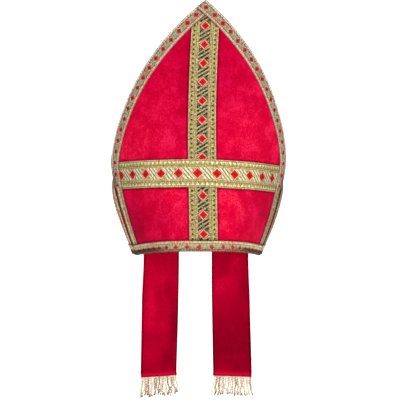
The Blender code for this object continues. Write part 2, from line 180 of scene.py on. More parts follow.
def back_section(s, z):
    """x and y at s along the cloth: each arc adds its radius times sines and cosines."""
    middle, side = back_arcs(z)
    end = back_side_angle(z)
    first = np.minimum(s, middle * BACK_MIDDLE_TURN) / middle
    second = np.maximum(0, s - middle * BACK_MIDDLE_TURN) / side
    second = np.minimum(second, end - BACK_MIDDLE_TURN)
    angle = BACK_MIDDLE_TURN + second
    rest = np.maximum(0, s - middle * BACK_MIDDLE_TURN - side * (end - BACK_MIDDLE_TURN))
    x = middle * np.sin(first) + side * (np.sin(angle) - math.sin(BACK_MIDDLE_TURN))
    y = middle * (1 - np.cos(first)) + side * (math.cos(BACK_MIDDLE_TURN) - np.cos(angle))
    return x + rest * np.cos(end), back_nose(z) - y - rest * np.sin(end)


def back_half_cloth(z):
    """Up to the seam's top the whole cloth, and above it the front's own outline in front view.

    The length of cloth that reaches the wanted x is found by halving the range that holds it.
    """
    middle, side = back_arcs(z)
    full = middle * BACK_MIDDLE_TURN + side * (back_side_angle(z) - BACK_MIDDLE_TURN) + SEAM_STRIP
    wanted = front_section(np.abs(front_half_cloth(z)), z)[0]
    low, high = np.zeros_like(z), full.copy()
    for _ in range(HALVINGS):
        half = (low + high) / 2
        inside = back_section(half, z)[0] < wanted
        low, high = np.where(inside, half, low), np.where(inside, high, half)
    arch = ease((z - BACK_ARCH_START) / BACK_ARCH_EASE)
    return (full * (1 - arch) + low * arch) * np.sign(front_half_cloth(z))


rim_radii = [round(1000 * float(radius[0])) for radius in back_arcs(np.zeros(1))]
print("the back's two radii at the rim, mm:", rim_radii)

# %% [markdown]
# ## From the flat cloth into space
#
# `laid` is the one door from the flat cloth to the real hat. It takes s and z, finds the point on
# the bent panel, and lifts it off the panel's outer face along the face's normal. A stiffened
# panel still gives a little where it is held and steamed, so `soft_dents` adds a few long, low
# waves, and everything that lies on the panel goes through the same function and follows them.

# %% Points on a panel
HEIGHTS = np.linspace(-0.020, TIP_HEIGHT + 0.060, 4201)
DENT_HEIGHT, DENTS_START, DENTS_FADE = 0.00022, 0.015, 0.050
# how far a sine runs along s and along z while it turns by a radian, and its phase
DENT_WAVES = ((0.021, 0.047, 0.0), (-0.060, 0.017, 1.1), (0.026, 0.026, 2.3))


def looked_up(half_cloth):
    """The same function, read from a table of it every 0.1 mm, which saves much time."""
    table = half_cloth(HEIGHTS)
    return lambda z: np.interp(z, HEIGHTS, table)


FRONT = {"section": front_section, "half_cloth": looked_up(front_half_cloth), "outward": 1}
BACK = {"section": back_section, "half_cloth": looked_up(back_half_cloth), "outward": -1}
PANELS = {"front": FRONT, "back": BACK}


def flat_to_space(panel, s, z):
    """The point at s, which is negative on the left, and at height z, with the horns' lean."""
    x, y = panel["section"](np.abs(s), z)
    lean = HORN_LEAN * (z / TIP_HEIGHT) ** 2
    return np.stack([np.where(s < 0, -x, x) + lean, y, z], -1)


def soft_dents(s, z):
    """Three crossed sines, 100 to 120 mm long, which fade out at the rim."""
    waves = sum(np.sin(s / along + z / up + phase) for along, up, phase in DENT_WAVES)
    return DENT_HEIGHT * waves * ease((z - DENTS_START) / DENTS_FADE)


def laid(panel, s, z, lift=0.0):
    """A point off the panel's outer face by lift: the normal is the cross product of two steps."""
    s, z = np.broadcast_arrays(np.asarray(s, float), np.asarray(z, float))
    here = flat_to_space(panel, s, z)
    across = flat_to_space(panel, s + TINY, z) - flat_to_space(panel, s - TINY, z)
    up = flat_to_space(panel, s, z + TINY) - flat_to_space(panel, s, z - TINY)
    normal = np.cross(across, up) * panel["outward"]
    normal = normal / np.linalg.norm(normal, axis=-1, keepdims=True)
    return here + normal * (np.asarray(lift) + soft_dents(s, z))[..., None]


def rim_height(share):
    """The rim's height at a share of the half width: a parabola, highest in the middle."""
    return RIM_RISE * (1 - share**2)


def edge_offset(panel, z, inset):
    """The panel's outline at height z, moved in by inset, square to itself, in the flat."""
    half_cloth = panel["half_cloth"]
    slope = (half_cloth(z + TINY) - half_cloth(z - TINY)) / (2 * TINY)
    length = np.sqrt(1 + slope**2)
    return half_cloth(z) - inset / length, z + inset * slope / length


tip = laid(FRONT, np.zeros(1), np.full(1, TIP_HEIGHT))[0]
print("front tip at, mm:", np.round(1000 * tip, 1))
print("front cloth at the rim, mm:", round(2000 * float(FRONT["half_cloth"](0))))

# %% [markdown]
# ## Cloth with a wall and soft edges
#
# Cloth has thickness, and where it is cut and turned its edge is round. The Solidify modifier
# would give a wall with two sharp corners. Here a piece is two grids, its face and its back, that
# come together along their shared border, so the wall's profile, ribs and all, is ours to draw.
# The two grids share the border's points, so the piece is closed with no rim of its own.

# %% Rounded edges
EDGE_PLACES = np.array([0, 0.13, 0.5, 1.0])  # shares of the edge's radius, closest at the edge


def round_edge(distance, radius):
    """From 0 at an edge to 1 at a radius from it, as a quarter circle rises."""
    share = np.clip(distance / radius, 0, 1)
    return np.sqrt(1 - (1 - share) ** 2)


def between(low, high, step, radius):
    """Places from low to high: a few close ones at each end's rounded edge, even ones between."""
    near = EDGE_PLACES * radius
    count = max(2, int(round((high - low - 2 * radius) / step)) + 1)
    middle = np.linspace(low + radius, high - radius, count)[1:-1]
    return np.concatenate([low + near, middle, (high - near)[::-1]])


print("an edge rises at its places to:", np.round(round_edge(EDGE_PLACES, 1), 2))

# %% A mesh from whole arrays
WELD_WITHIN = 1e-7  # metres: joins points that fall together where a grid narrows to a tip


def cells(ids):
    """The four corners of every cell of a grid of point numbers, going round it."""
    return np.stack([ids[:-1, :-1], ids[:-1, 1:], ids[1:, 1:], ids[1:, :-1]], -1).reshape(-1, 4)


def facing_outwards(points, faces):
    """Turns all faces round if the volume, the sum of a . (b x c) / 6, comes out negative."""
    a, b, c, d = (points[faces[:, k]] for k in range(4))
    volume = (a * np.cross(b, c)).sum() + (a * np.cross(c, d)).sum()
    return faces if volume > 0 else faces[:, ::-1]


def mesh_of(name, points, faces, chart, slots=None, **numbers):
    """A smooth mesh from whole arrays, with its flat places as a UV map in millimetres.

    numbers holds arrays with a value for each point, which become the mesh's attributes.
    """
    mesh = bpy.data.meshes.new(name)
    mesh.vertices.add(len(points))
    mesh.vertices.foreach_set("co", points.astype(np.float32).ravel())
    mesh.loops.add(faces.size)
    mesh.loops.foreach_set("vertex_index", faces.astype(np.int32).ravel())
    mesh.polygons.add(len(faces))
    mesh.polygons.foreach_set("loop_start", np.arange(0, faces.size, 4, dtype=np.int32))
    if slots is not None:
        mesh.polygons.foreach_set("material_index", slots.astype(np.int32))
    mesh.update(calc_edges=True)
    uv = mesh.uv_layers.new(name="flat_mm")
    uv.uv.foreach_set("vector", (1000 * chart[faces.ravel()]).astype(np.float32).ravel())
    for label, values in numbers.items():
        layer = mesh.attributes.new(label, "FLOAT", "POINT")
        layer.data.foreach_set("value", values.astype(np.float32).ravel())
    weld = bmesh.new()
    weld.from_mesh(mesh)
    bmesh.ops.remove_doubles(weld, verts=weld.verts, dist=WELD_WITHIN)
    weld.to_mesh(mesh)
    weld.free()
    mesh.shade_smooth()
    return mesh


print("the corners of a cell, going round:", cells(np.arange(4).reshape(2, 2))[0])

# %% Two grids as one closed piece


def closed_cloth(name, face, back, chart, **numbers):
    """Two grids of points that share their border, as one closed mesh.

    chart holds each place's flat coordinates, and numbers a value for each place. Faces of the
    back grid take material slot 1.
    """
    rows, columns = face.shape[:2]
    upper = np.arange(rows * columns).reshape(rows, columns)
    under = upper.copy()
    inside = (rows - 2) * (columns - 2)
    under[1:-1, 1:-1] = rows * columns + np.arange(inside).reshape(rows - 2, columns - 2)
    points = np.concatenate([face.reshape(-1, 3), back[1:-1, 1:-1].reshape(-1, 3)])
    flat = np.concatenate([chart.reshape(-1, 2), chart[1:-1, 1:-1].reshape(-1, 2)])
    numbers = {k: np.concatenate([v.ravel(), v[1:-1, 1:-1].ravel()]) for k, v in numbers.items()}
    faces = np.concatenate([cells(upper), cells(under)[:, ::-1]])
    slots = np.repeat([0, 1], len(faces) // 2)
    return mesh_of(name, points, facing_outwards(points, faces), flat, slots, **numbers)


def piece(mesh, material_slot, node, *finishes):
    """Puts a mesh in the scene as a piece that rides on the hat and stands for a node."""
    made = bpy.data.objects.new(mesh.name, mesh)
    bpy.context.scene.collection.objects.link(made)
    for finish in finishes:
        mesh.materials.append(finish)
    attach(made, "root")
    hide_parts(node)
    triangles = sum(len(p.vertices) - 2 for p in mesh.polygons)
    size = np.ptp(np.array(made.bound_box), axis=0) * 1000
    print(f"{mesh.name}: {triangles} triangles, {size[0]:.0f} x {size[1]:.0f} x {size[2]:.0f} mm")
    return made


# %% [markdown]
# ## Finishes
#
# A finish here is a small graph of nodes. One function adds a node, sets it, and links what it
# is given, so that a graph reads from top to bottom like a sum. Colours are written as the sRGB
# hex codes of paint charts and screens, and one function turns them into the linear numbers that
# light is reckoned in. Every pattern's size is in millimetres of real cloth.

# %% Colours and nodes


def linear(code):
    """sRGB hex to linear red, green, blue and a full alpha: the standard curve, 2.4 power."""
    parts = [int(code[i : i + 2], 16) / 255 for i in (1, 3, 5)]
    parts = [p / 12.92 if p <= 0.04045 else ((p + 0.055) / 1.055) ** 2.4 for p in parts]
    return (*parts, 1.0)


def add(tree, kind, inputs=(), output=0, stops=None, **settings):
    """Adds one node, sets it, and fills its inputs, by number or name, with values or links.

    stops are a colour ramp's: a place, a hex colour and, unless it covers all that lies under
    it, how much it covers.
    """
    made = tree.nodes.new("ShaderNode" + kind)
    for name, value in settings.items():
        setattr(made, name, value)
    for key, value in inputs.items() if isinstance(inputs, dict) else enumerate(inputs):
        if isinstance(value, bpy.types.NodeSocket):
            tree.links.new(value, made.inputs[key])
        elif value is not None:
            made.inputs[key].default_value = value
    for number, (place, code, *cover) in enumerate(stops or []):
        elements = made.color_ramp.elements
        element = elements[number] if number < len(elements) else elements.new(place)
        element.position = place
        element.color = (*linear(code)[:3], *(cover or [1]))
    return made.outputs[output]


def new_finish(name, **numbers):
    """A Principled material with its uniform numbers on the shader's own sockets."""
    made = bpy.data.materials.new(name)
    made.use_nodes = True
    shader = made.node_tree.nodes["Principled BSDF"]
    for socket, value in numbers.items():
        shader.inputs[socket.replace("_", " ")].default_value = value
    return made, made.node_tree, shader


FINISHES = {}
print("pure orange #FF8000 is, in linear light:", [round(v, 3) for v in linear("#FF8000")])

# %% [markdown]
# ## Crimson velvet
#
# The panels and lappets are cotton velvet, piece-dyed crimson and lightly crushed. Velvet is a
# woven ground with a short upright pile, cut by blades on the loom. The pile takes light in
# between its hairs, so velvet is deepest where it is seen head on and blooms pale along its
# edges: that is the shader's sheen. Where the pile has been leaned over by handling it shows
# lighter and darker clouds of 10 to 20 mm, and the ends of the pile give a grain that is far
# finer than a pixel, drawn here at 2 mm so that it shows. The clouds come from noise on Object
# coordinates, because the crushing has no direction of its own.

# %% The velvet's finish
CLOUD_SIZE, GRAIN_SIZE, PILE_SIZE = 20.83, 2.083, 1.111  # millimetres
GRAIN_SHARE, PALER_POWER, EDGE_LINE = 0.40, 6.0, 10.0


def velvet_finish(name, colours, sheen, clouds, line):
    """Clouds and grain add up to one tone, which picks a colour and raises the pile.

    The colour is then multiplied by the mesh's attribute of painted light and shade, and by a
    a ramp over its "to_edge", the distance to the nearest edge or braid, up to ten millimetres.
    """
    made, tree, shader = new_finish(
        name,
        Roughness=0.85,
        IOR=1.45,
        Specular_IOR_Level=0.0,
        Sheen_Weight=sheen,
        Sheen_Roughness=0.35,
        Sheen_Tint=linear("#FF8AA0"),
    )
    place = add(tree, "TexCoord", output="Object")
    noise = {"Vector": place, "Scale": 1000 / CLOUD_SIZE, "Detail": 4, "Roughness": 0.65}
    cloud = add(tree, "TexNoise", noise)
    noise = {"Vector": place, "Scale": 1000 / GRAIN_SIZE, "Detail": 1, "Roughness": 0.6}
    grain = add(tree, "TexNoise", noise)
    middle = 0.5 - (clouds + GRAIN_SHARE) / 2
    tone = add(tree, "Math", (cloud, clouds, middle), operation="MULTIPLY_ADD")
    tone = add(tree, "Math", (grain, GRAIN_SHARE, tone), operation="MULTIPLY_ADD")
    colour = add(tree, "ValToRGB", (tone,), stops=list(zip((0.36, 0.50, 0.64), colours)))
    # Green takes a higher power of the painted light, so painted highlights are paler too.
    press = add(tree, "Attribute", attribute_name="press", output="Fac")
    paler = add(tree, "Math", (press, PALER_POWER), operation="POWER")
    press = add(tree, "CombineXYZ", (press, paler, press))
    colour = add(tree, "MixRGB", (1.0, colour, press), blend_type="MULTIPLY")
    to_edge = add(tree, "Attribute", attribute_name="to_edge", output="Fac")
    share = add(tree, "Math", (to_edge, 1 / EDGE_LINE), operation="MULTIPLY")
    line = add(tree, "ValToRGB", (share,), stops=line)
    colour = add(tree, "MixRGB", (1.0, colour, line), blend_type="MULTIPLY")
    pile = add(tree, "TexNoise", {"Vector": place, "Scale": 1000 / PILE_SIZE, "Detail": 2})
    height = add(tree, "Math", (pile, 0.5, tone), operation="MULTIPLY_ADD")
    bump = add(tree, "Bump", {"Height": height, "Strength": 0.35, "Distance": 0.0006})
    tree.links.new(bump, shader.inputs["Normal"])
    tree.links.new(colour, shader.inputs["Base Color"])
    print(f"{name}: {len(tree.nodes)} nodes")
    return made, tree, shader, colour


def pressed(s, z, places):
    """One, plus for each place a strength times a bell over s and z, its four sizes in mm."""
    total = np.ones(np.broadcast_shapes(np.shape(s), np.shape(z)))
    for middle_s, middle_z, wide, high, strength in places:
        away = ((1000 * s - middle_s) / wide) ** 2 + ((1000 * z - middle_z) / high) ** 2
        total = total + strength * np.exp(-away)
    return total


# %% The panels' velvet and its woven back
FINISHES["velvet"] = velvet_finish(
    "crimson_cotton_velvet",
    ("#BA002C", "#CE0434", "#E41E4D"),
    sheen=0.20,
    clouds=0.60,
    # The stitching of a braid draws the velvet down beside it, where it lies in shade.
    line=[(0.0, "#B0B0B0"), (0.10, "#B8B8B8"), (0.34, "#FFFFFF")],
)[0]

# The wrong side of velvet is a plain, matt weave. Its threads are 0.4 mm apart on the real cloth
# and 1.3 mm apart here, so that they show.
BACK_THREADS = 1.309
ground, tree, shader = new_finish("velvet_woven_back", Roughness=0.9, Sheen_Weight=0.1)
place = add(tree, "SeparateXYZ", (add(tree, "UVMap", uv_map="flat_mm"),))
turns = 2 * math.pi / BACK_THREADS
warp = add(tree, "Math", (place, turns), operation="MULTIPLY")
warp = add(tree, "Math", (warp,), operation="SINE")
weft = add(tree, "Math", (place.node.outputs[1], turns), operation="MULTIPLY")
weft = add(tree, "Math", (weft,), operation="SINE")
weave = add(tree, "Math", (warp, weft), operation="MULTIPLY")
weave = add(tree, "Math", (weave, 0.25, 0.5), operation="MULTIPLY_ADD")
colour = add(tree, "ValToRGB", (weave,), stops=[(0.2, "#7A0620"), (0.8, "#A50F31")])
tree.links.new(colour, shader.inputs["Base Color"])
bump = add(tree, "Bump", {"Height": weave, "Strength": 0.3, "Distance": 0.0004})
tree.links.new(bump, shader.inputs["Normal"])
FINISHES["woven_back"] = ground

# %% The lappets' velvet
# The lappets get the same velvet in deeper colours. Their turned edges have a painted highlight,
# and beside them a painted dark line stands for the shade of the doubled cloth. At the hem the
# colour has painted shade, and just above it a painted highlight.
LAPPET_WIDTH, LAPPET_WALL, LAPPET_MIDDLE = 0.059, 0.0018, 0.0543
LAPPET_TOP, LAPPET_HEM, LAPPET_FREE_FALL = 0.016, -0.178, 0.070
HEM_PAINTED_MM, HEM_PAINTED_SCALE = 10, 3.6  # the ramp's height above the hem, and what white stands for


def lappet_finish(line, hem_painted_light):
    """The same velvet, times a ramp of painted shade and highlight up from the hem."""
    made, tree, shader, colour = velvet_finish(
        "crimson_lappet_velvet",
        ("#A80024", "#B4002A", "#C40232"),
        sheen=0.25,
        clouds=0.30,
        line=line,
    )
    flat = add(tree, "SeparateXYZ", (add(tree, "UVMap", uv_map="flat_mm"),))
    hem = 1000 * LAPPET_HEM
    share = add(tree, "MapRange", (flat.node.outputs[1], hem, hem + HEM_PAINTED_MM, 0.0, 1.0))
    factor = add(tree, "ValToRGB", (share,), stops=hem_painted_light)
    factor = add(tree, "VectorMath", (factor, (HEM_PAINTED_SCALE,) * 3), operation="MULTIPLY")
    colour = add(tree, "MixRGB", (1.0, colour, factor), blend_type="MULTIPLY")
    tree.links.new(colour, shader.inputs["Base Color"])
    return made


# edge: painted highlight, then a painted dark line; hem: painted shade, then a painted highlight
EDGE_TO_MIDDLE = ["#D8D8D8", "#C8C8C8", "#8C8C8C", "#949494", "#C8C8C8"]
HEM_UPWARDS = ["#7C7C7C", "#7C7C7C", "#FFFFFF", "#F4F4F4", "#BBBBBB"]
FINISHES["lappet"] = lappet_finish(
    line=list(zip((0.0, 0.06, 0.12, 0.24, 0.38), EDGE_TO_MIDDLE)),
    hem_painted_light=list(zip((0.0, 0.10, 0.22, 0.44, 0.66), HEM_UPWARDS)),
)

# %% [markdown]
# ## Gold braid
#
# Braid and galloon are narrow cloths woven with metal-wrapped thread, the pattern floating on
# top in coloured silk. Both patterns here are the common trade ones: a row of red lozenges, with
# slanting bars between them on the wide one, ribs at the edges, and a lane of small teeth. The
# UV map gives each place on a braid in millimetres, along and across, which is all that a
# repeating weave needs. Across, a colour ramp lays out the lanes. Along, a ping-pong gives the
# distance to the nearest lozenge's centre. Added to the distance across, it is the same all
# round a lozenge, whose edges slant at 45 degrees.
#
# The metal threads run across the braid, so an upright braid and a level one catch the light
# differently: the upright one looks olive and the level one pale gold. That is why the same
# weave gets two sets of colours.
#
# A weave is built up like the real one, part by part. Each part below is a function that takes
# the colour and the relief so far and gives back what they have become.

# %% Bars and teeth
RELIEF = {"bars": 0.25, "lozenges": 0.40, "threads": 0.10, "patches": 0.35}


def slanting_bars(tree, colour, relief, flat, away, pitch, lane, slope, stops):
    """The place along, slid by the slope times the place across, runs once through a pitch."""
    slant = add(tree, "Math", (flat.node.outputs[1], slope, flat), operation="MULTIPLY_ADD")
    slant = add(tree, "Math", (slant, pitch), operation="FLOORED_MODULO")
    slant = add(tree, "Math", (slant, pitch), operation="DIVIDE")
    stripes = add(tree, "ValToRGB", (slant,), stops=stops)
    inside = add(tree, "Math", (away, lane), operation="LESS_THAN")
    cover = add(tree, "Math", (stripes.node.outputs[1], inside), operation="MULTIPLY")
    colour = add(tree, "MixRGB", (cover, colour, stripes))
    return colour, add(tree, "Math", (cover, RELIEF["bars"], relief), operation="MULTIPLY_ADD")


def small_teeth(tree, colour, flat, away, pitch, start, end, slope, code):
    """Four triangles to a pitch, each where the slope times the depth beats a ping-pong."""
    place = add(tree, "Math", (flat, pitch / 8), operation="PINGPONG")
    depth = add(tree, "Math", (away, start), operation="SUBTRACT")
    width = add(tree, "Math", (depth, slope), operation="MULTIPLY")
    inside = add(tree, "Math", (width, place), operation="GREATER_THAN")
    within = add(tree, "Math", (away, end), operation="LESS_THAN")
    cover = add(tree, "Math", (inside, within), operation="MULTIPLY")
    return add(tree, "MixRGB", (cover, colour, linear(code)))


def bar_stops(bar, gap, width, count=4, first=0.12, last=0.88):
    """Even bars along one pitch, with gaps between them and nothing at either end.

    width is a bar's share of its step. Each stop lies a little inside its own bar or gap.
    """
    step = (last - first) / (count - 1 + width)
    stops = [(0.0, bar, 0), (first - 0.01, bar, 0)]
    for number in range(count):
        start = first + number * step
        end = start + width * step
        stops += [(start + 0.006, bar), (end - 0.006, bar)]
        if number < count - 1:
            stops += [(end + 0.006, gap), (start + step - 0.006, gap)]
    return stops + [(last + 0.01, bar, 0)]


print("stops of four bars in a pitch:", len(bar_stops("#000000", "#FFFFFF", 0.5)))

# %% Flecks and lozenges
FLECK_SIZE = 1.923  # millimetres
FLECKS = [
    (0.30, "#38401F", 0.75),
    (0.42, "#38401F", 0.10),
    (0.50, "#8A6A50", 0.0),
    (0.58, "#F4DEC8", 0.10),
    (0.70, "#F4DEC8", 0.75),
]


def lozenges(tree, colour, relief, chart, flat, pitch, low, ragged, fade, stops):
    """Flecks first, then the distance to a lozenge's centre, made ragged by the flecks' noise.

    The distance is the place's distance along plus its distance across, in half pitches.
    """
    # Green and pale flecks, where single threads of the ground come up.
    noise = {"Vector": chart, "Scale": 1 / FLECK_SIZE, "Detail": 2, "Roughness": 0.7}
    noise = add(tree, "TexNoise", noise)
    flecks = add(tree, "ValToRGB", (noise,), stops=FLECKS)
    colour = add(tree, "MixRGB", (flecks.node.outputs[1], colour, flecks))

    nearest = add(tree, "Math", (flat, pitch / 2), operation="PINGPONG")
    off_line = add(tree, "Math", (flat.node.outputs[1], low), operation="ADD")
    off_line = add(tree, "Math", (off_line,), operation="ABSOLUTE")
    distance = add(tree, "Math", (nearest, off_line), operation="ADD")
    distance = add(tree, "Math", (distance, 2 / pitch, -ragged / 2), operation="MULTIPLY_ADD")
    distance = add(tree, "Math", (noise, ragged, distance), operation="MULTIPLY_ADD")
    jewel = add(tree, "ValToRGB", (distance,), stops=stops)
    worn = add(tree, "Attribute", attribute_name="worn", output="Fac")
    left = add(tree, "Math", (worn, -fade, 1.0), operation="MULTIPLY_ADD")
    cover = add(tree, "Math", (jewel.node.outputs[1], left), operation="MULTIPLY")
    colour = add(tree, "MixRGB", (cover, colour, jewel))
    relief = add(tree, "Math", (cover, RELIEF["lozenges"], relief), operation="MULTIPLY_ADD")
    # Brown for wear, where the thread's core lies bare, and for painted shade.
    colour = add(tree, "MixRGB", (worn, colour, linear("#B46E4A")), blend_type="MULTIPLY")
    return colour, relief


print("flecks are", FLECK_SIZE, "mm across")

# %% Metal thread
# Gold tarnishes unevenly, rosy in one place and green in another some centimetres on. The thread
# itself spins and breaks the light up, in patches stretched across the braid, as the threads run.
# Weft threads lie 0.35 mm apart on the real braid and 0.9 mm here, so that they show.
TARNISH_SIZE, THREAD_PATCH, WEFT_SPACING = 31.25, 2.632, 0.9  # millimetres
TARNISH = [(0.38, "#F2FFF0"), (0.50, "#FFF8F0"), (0.62, "#FFE2D8")]
PATCH_STRETCH = (1.2, 0.7, 1.0)
PATCH_NOISE, PATCH_LIGHT, WEFT_LIGHT = (0.34, 0.66), (0.42, 1.45), 0.08


def metal_thread(tree, colour, relief, chart, flat, tarnish):
    """The colour times the tarnish, and times patches of shine with a sine for every thread."""
    clouds = add(tree, "TexNoise", {"Vector": chart, "Scale": 1 / TARNISH_SIZE, "Detail": 1})
    clouds = add(tree, "ValToRGB", (clouds,), stops=TARNISH)
    colour = add(tree, "MixRGB", (tarnish, colour, clouds), blend_type="MULTIPLY")

    threads = add(tree, "VectorMath", (chart, PATCH_STRETCH), operation="MULTIPLY")
    noise = {"Vector": threads, "Scale": 1 / THREAD_PATCH, "Detail": 3, "Roughness": 0.8}
    uneven = add(tree, "TexNoise", noise)
    uneven = add(tree, "MapRange", (uneven, *PATCH_NOISE, *PATCH_LIGHT))
    weft = add(tree, "Math", (flat, 2 * math.pi / WEFT_SPACING), operation="MULTIPLY")
    weft = add(tree, "Math", (weft,), operation="SINE")
    shine = add(tree, "Math", (weft, WEFT_LIGHT, uneven), operation="MULTIPLY_ADD")
    press = add(tree, "Attribute", attribute_name="press", output="Fac")
    shine = add(tree, "Math", (shine, press), operation="MULTIPLY")
    shine = add(tree, "CombineXYZ", (shine, shine, shine))
    colour = add(tree, "MixRGB", (1.0, colour, shine), blend_type="MULTIPLY")
    relief = add(tree, "Math", (weft, RELIEF["threads"], relief), operation="MULTIPLY_ADD")
    relief = add(tree, "Math", (uneven, RELIEF["patches"], relief), operation="MULTIPLY_ADD")
    return colour, relief


# %% Woven braid
def woven_braid(
    name,
    half,
    pitch,
    lanes,
    heights,
    lozenge,
    ragged,
    bars=None,
    teeth=None,
    signed=False,
    fade=0,
    low=0,
    tarnish=0.25,
):
    """A braid's finish: lanes, bars, teeth, lozenges and thread, one laid over the other.

    half and pitch are in millimetres. lanes, heights and lozenge are ramps' stops: lanes from the
    middle line to the edge, or if signed from the outer or lower edge to the other one, heights
    from the middle line to the edge, and lozenge outwards from its centre to half a pitch.
    bars and teeth are what slanting_bars and small_teeth take last. ragged is how far noise
    moves a lozenge's edge, fade how much of it goes with wear and painted shade, low how many
    millimetres it stands low, and tarnish how strongly the gold is tarnished.
    """
    made, tree, shader = new_finish(name, Roughness=0.60, Metallic=0.10, Specular_IOR_Level=0.03)
    chart = add(tree, "UVMap", uv_map="flat_mm")
    flat = add(tree, "SeparateXYZ", (chart,))
    across = flat.node.outputs[1]
    away = add(tree, "Math", (across,), operation="ABSOLUTE")
    share = add(tree, "Math", (away, half), operation="DIVIDE")
    side = add(tree, "Math", (across, 0.5 / half, 0.5), operation="MULTIPLY_ADD")
    colour = add(tree, "ValToRGB", (side if signed else share,), stops=lanes)
    relief = add(tree, "ValToRGB", (share,), stops=heights)
    if bars:
        colour, relief = slanting_bars(tree, colour, relief, flat, away, pitch, *bars)
    if teeth:
        colour = small_teeth(tree, colour, flat, away, pitch, *teeth)
    colour, relief = lozenges(
        tree, colour, relief, chart, flat, pitch, low, ragged, fade, lozenge
    )
    colour, relief = metal_thread(tree, colour, relief, chart, flat, tarnish)
    tree.links.new(colour, shader.inputs["Base Color"])
    bump = add(tree, "Bump", {"Height": relief, "Strength": 0.7, "Distance": 0.0006})
    tree.links.new(bump, shader.inputs["Normal"])
    print(f"{name}: {len(tree.nodes)} nodes")
    return made


def lane_stops(width, table):
    """Ramp stops from rows of a lane's far edge in millimetres and its colour."""
    stops, last = [], 0.0
    for outer, code in table:
        stops += [(last / width + 0.004, code), (outer / width - 0.004, code)]
        last = outer
    return stops


# %% The narrow braid's weave, on the edges and round the rim
# From the outer edge: a thin dark edge, which also stands for painted shade at the seam, a
# silvery rib, a dark line, the lozenges' lane, a dark and a gold line, and a rosy rib. The rim
# has a narrower braid of the same weave, with painted shade in its lower lanes, as it turns under.
NARROW_PITCH = 16.1
narrow_mm, rim_mm = 1000 * NARROW_BRAID, 1000 * RIM_BRAID
NARROW_LANES = [
    (1.0, "#5C5648"),
    (2.8, "#D2CAB8"),
    (4.2, "#4C4232"),
    (12.0, "#9A917A"),
    (13.2, "#5C5038"),
    (14.2, "#C8B27C"),
    (15.0, "#6E5440"),
    (16.5, "#D4B09C"),
]
RIM_LANES = [
    (0.9, "#5E5440"),
    (2.2, "#9A8466"),
    (3.2, "#5A4630"),
    (5.4, "#A48E70"),
    (10.0, "#B8AA88"),
    (10.9, "#827A54"),
    (12.4, "#E2D2AC"),
    (14.0, "#D6B89C"),
]
NARROW_HEIGHTS = [
    (0.0, "#606060"),
    (0.50, "#707070"),
    (0.58, "#202020"),
    (0.68, "#A0A0A0"),
    (0.74, "#202020"),
    (0.84, "#FFFFFF"),
]
NARROW_LOZENGE = [
    (0.0, "#921420"),
    (0.30, "#A8242E"),
    (0.49, "#B44648", 0.95),
    (0.56, "#C69488", 0.9),
    (0.61, "#B0A084", 0.9),
    (0.64, "#46402A", 0.8),
    (0.71, "#DDD0BC", 0.8),
    (0.79, "#DDD0BC", 0.0),
]
RIM_LOZENGE = [
    (0.0, "#98141E", 0.94),
    (0.34, "#AC2832", 0.86),
    (0.54, "#C47C70", 0.6),
    (0.70, "#C8A890", 0),
]
FINISHES["narrow"] = woven_braid(
    "narrow_gold_braid",
    narrow_mm / 2,
    NARROW_PITCH,
    lane_stops(narrow_mm, NARROW_LANES),
    NARROW_HEIGHTS,
    NARROW_LOZENGE,
    ragged=0.55,
    teeth=(4.4, 6.6, 1.0, "#DDD0BC"),
    signed=True,
    fade=2.1,
    tarnish=1.0,
)
FINISHES["rim"] = woven_braid(
    "rim_gold_braid",
    rim_mm / 2,
    NARROW_PITCH,
    lane_stops(rim_mm, RIM_LANES),
    NARROW_HEIGHTS,
    RIM_LOZENGE,
    ragged=0.40,
    signed=True,
    low=1.2,
    tarnish=1.0,
)

# %% The wide galloon's weave, upright and level
WIDE_PITCH, WIDE_RAGGED = 25.4, 0.06
BAR_LANE = 7.4  # millimetres from the middle line
wide_half = 1000 * WIDE_BRAID / 2
LANE_EDGES = (7.5, 8.4, 9.1, 10.2, 11.0, 16.6, 17.2, 18.65)
WIDE_HEIGHTS = [
    (0.0, "#606060"),
    (0.39, "#606060"),
    (0.42, "#D0D0D0"),
    (0.47, "#303030"),
    (0.52, "#D0D0D0"),
    (0.58, "#404040"),
    (0.86, "#505050"),
    (0.92, "#FFFFFF"),
]


def wide_lozenge(size, outline, ground):
    """A red lozenge with a pale outline, inside a thin line of the ground's colour."""
    stops = [
        (0.0, "#B80C1C", 1),
        (0.30, "#CA2026", 1),
        (0.415, "#DA3A34", 1),
        (0.440, outline, 1),
        (0.520, outline, 1),
        (0.540, ground, 1),
        (0.575, ground, 1),
        (0.590, ground, 0),
    ]
    return [(size * place, code, cover) for place, code, cover in stops]


def galloon(name, colours, lozenge, bars, teeth):
    """The wide weave, with its own colours for the eight lanes, the lozenges, bars and teeth."""
    return woven_braid(
        name,
        wide_half,
        WIDE_PITCH,
        lane_stops(wide_half, zip(LANE_EDGES, colours.split())),
        WIDE_HEIGHTS,
        wide_lozenge(*lozenge),
        WIDE_RAGGED,
        (BAR_LANE, *bars),
        teeth,
    )


FINISHES["upright_wide"] = galloon(
    "upright_gold_galloon",
    "#6C5E3C #D8B87E #5E4426 #D4C488 #544A28 #B8A866 #6E6038 #E6C496",
    lozenge=(1.04, "#EEB49A", "#4A3820"),
    bars=(-0.62, bar_stops("#2E2812", "#B0A472", 0.58)),
    teeth=(12.0, 15.6, 0.64, "#3A3014"),
)
FINISHES["level_wide"] = galloon(
    "level_gold_galloon",
    "#AC9E66 #E3CD92 #7E6438 #D8C684 #76723E #A6A060 #8A6A44 #DDBE92",
    lozenge=(1.25, "#F0C4A0", "#8A7C4A"),
    bars=(0.86, bar_stops("#F2EAC4", "#7E7C46", 0.60)),
    teeth=(12.0, 16.0, 0.75, "#F0E2A8"),
)
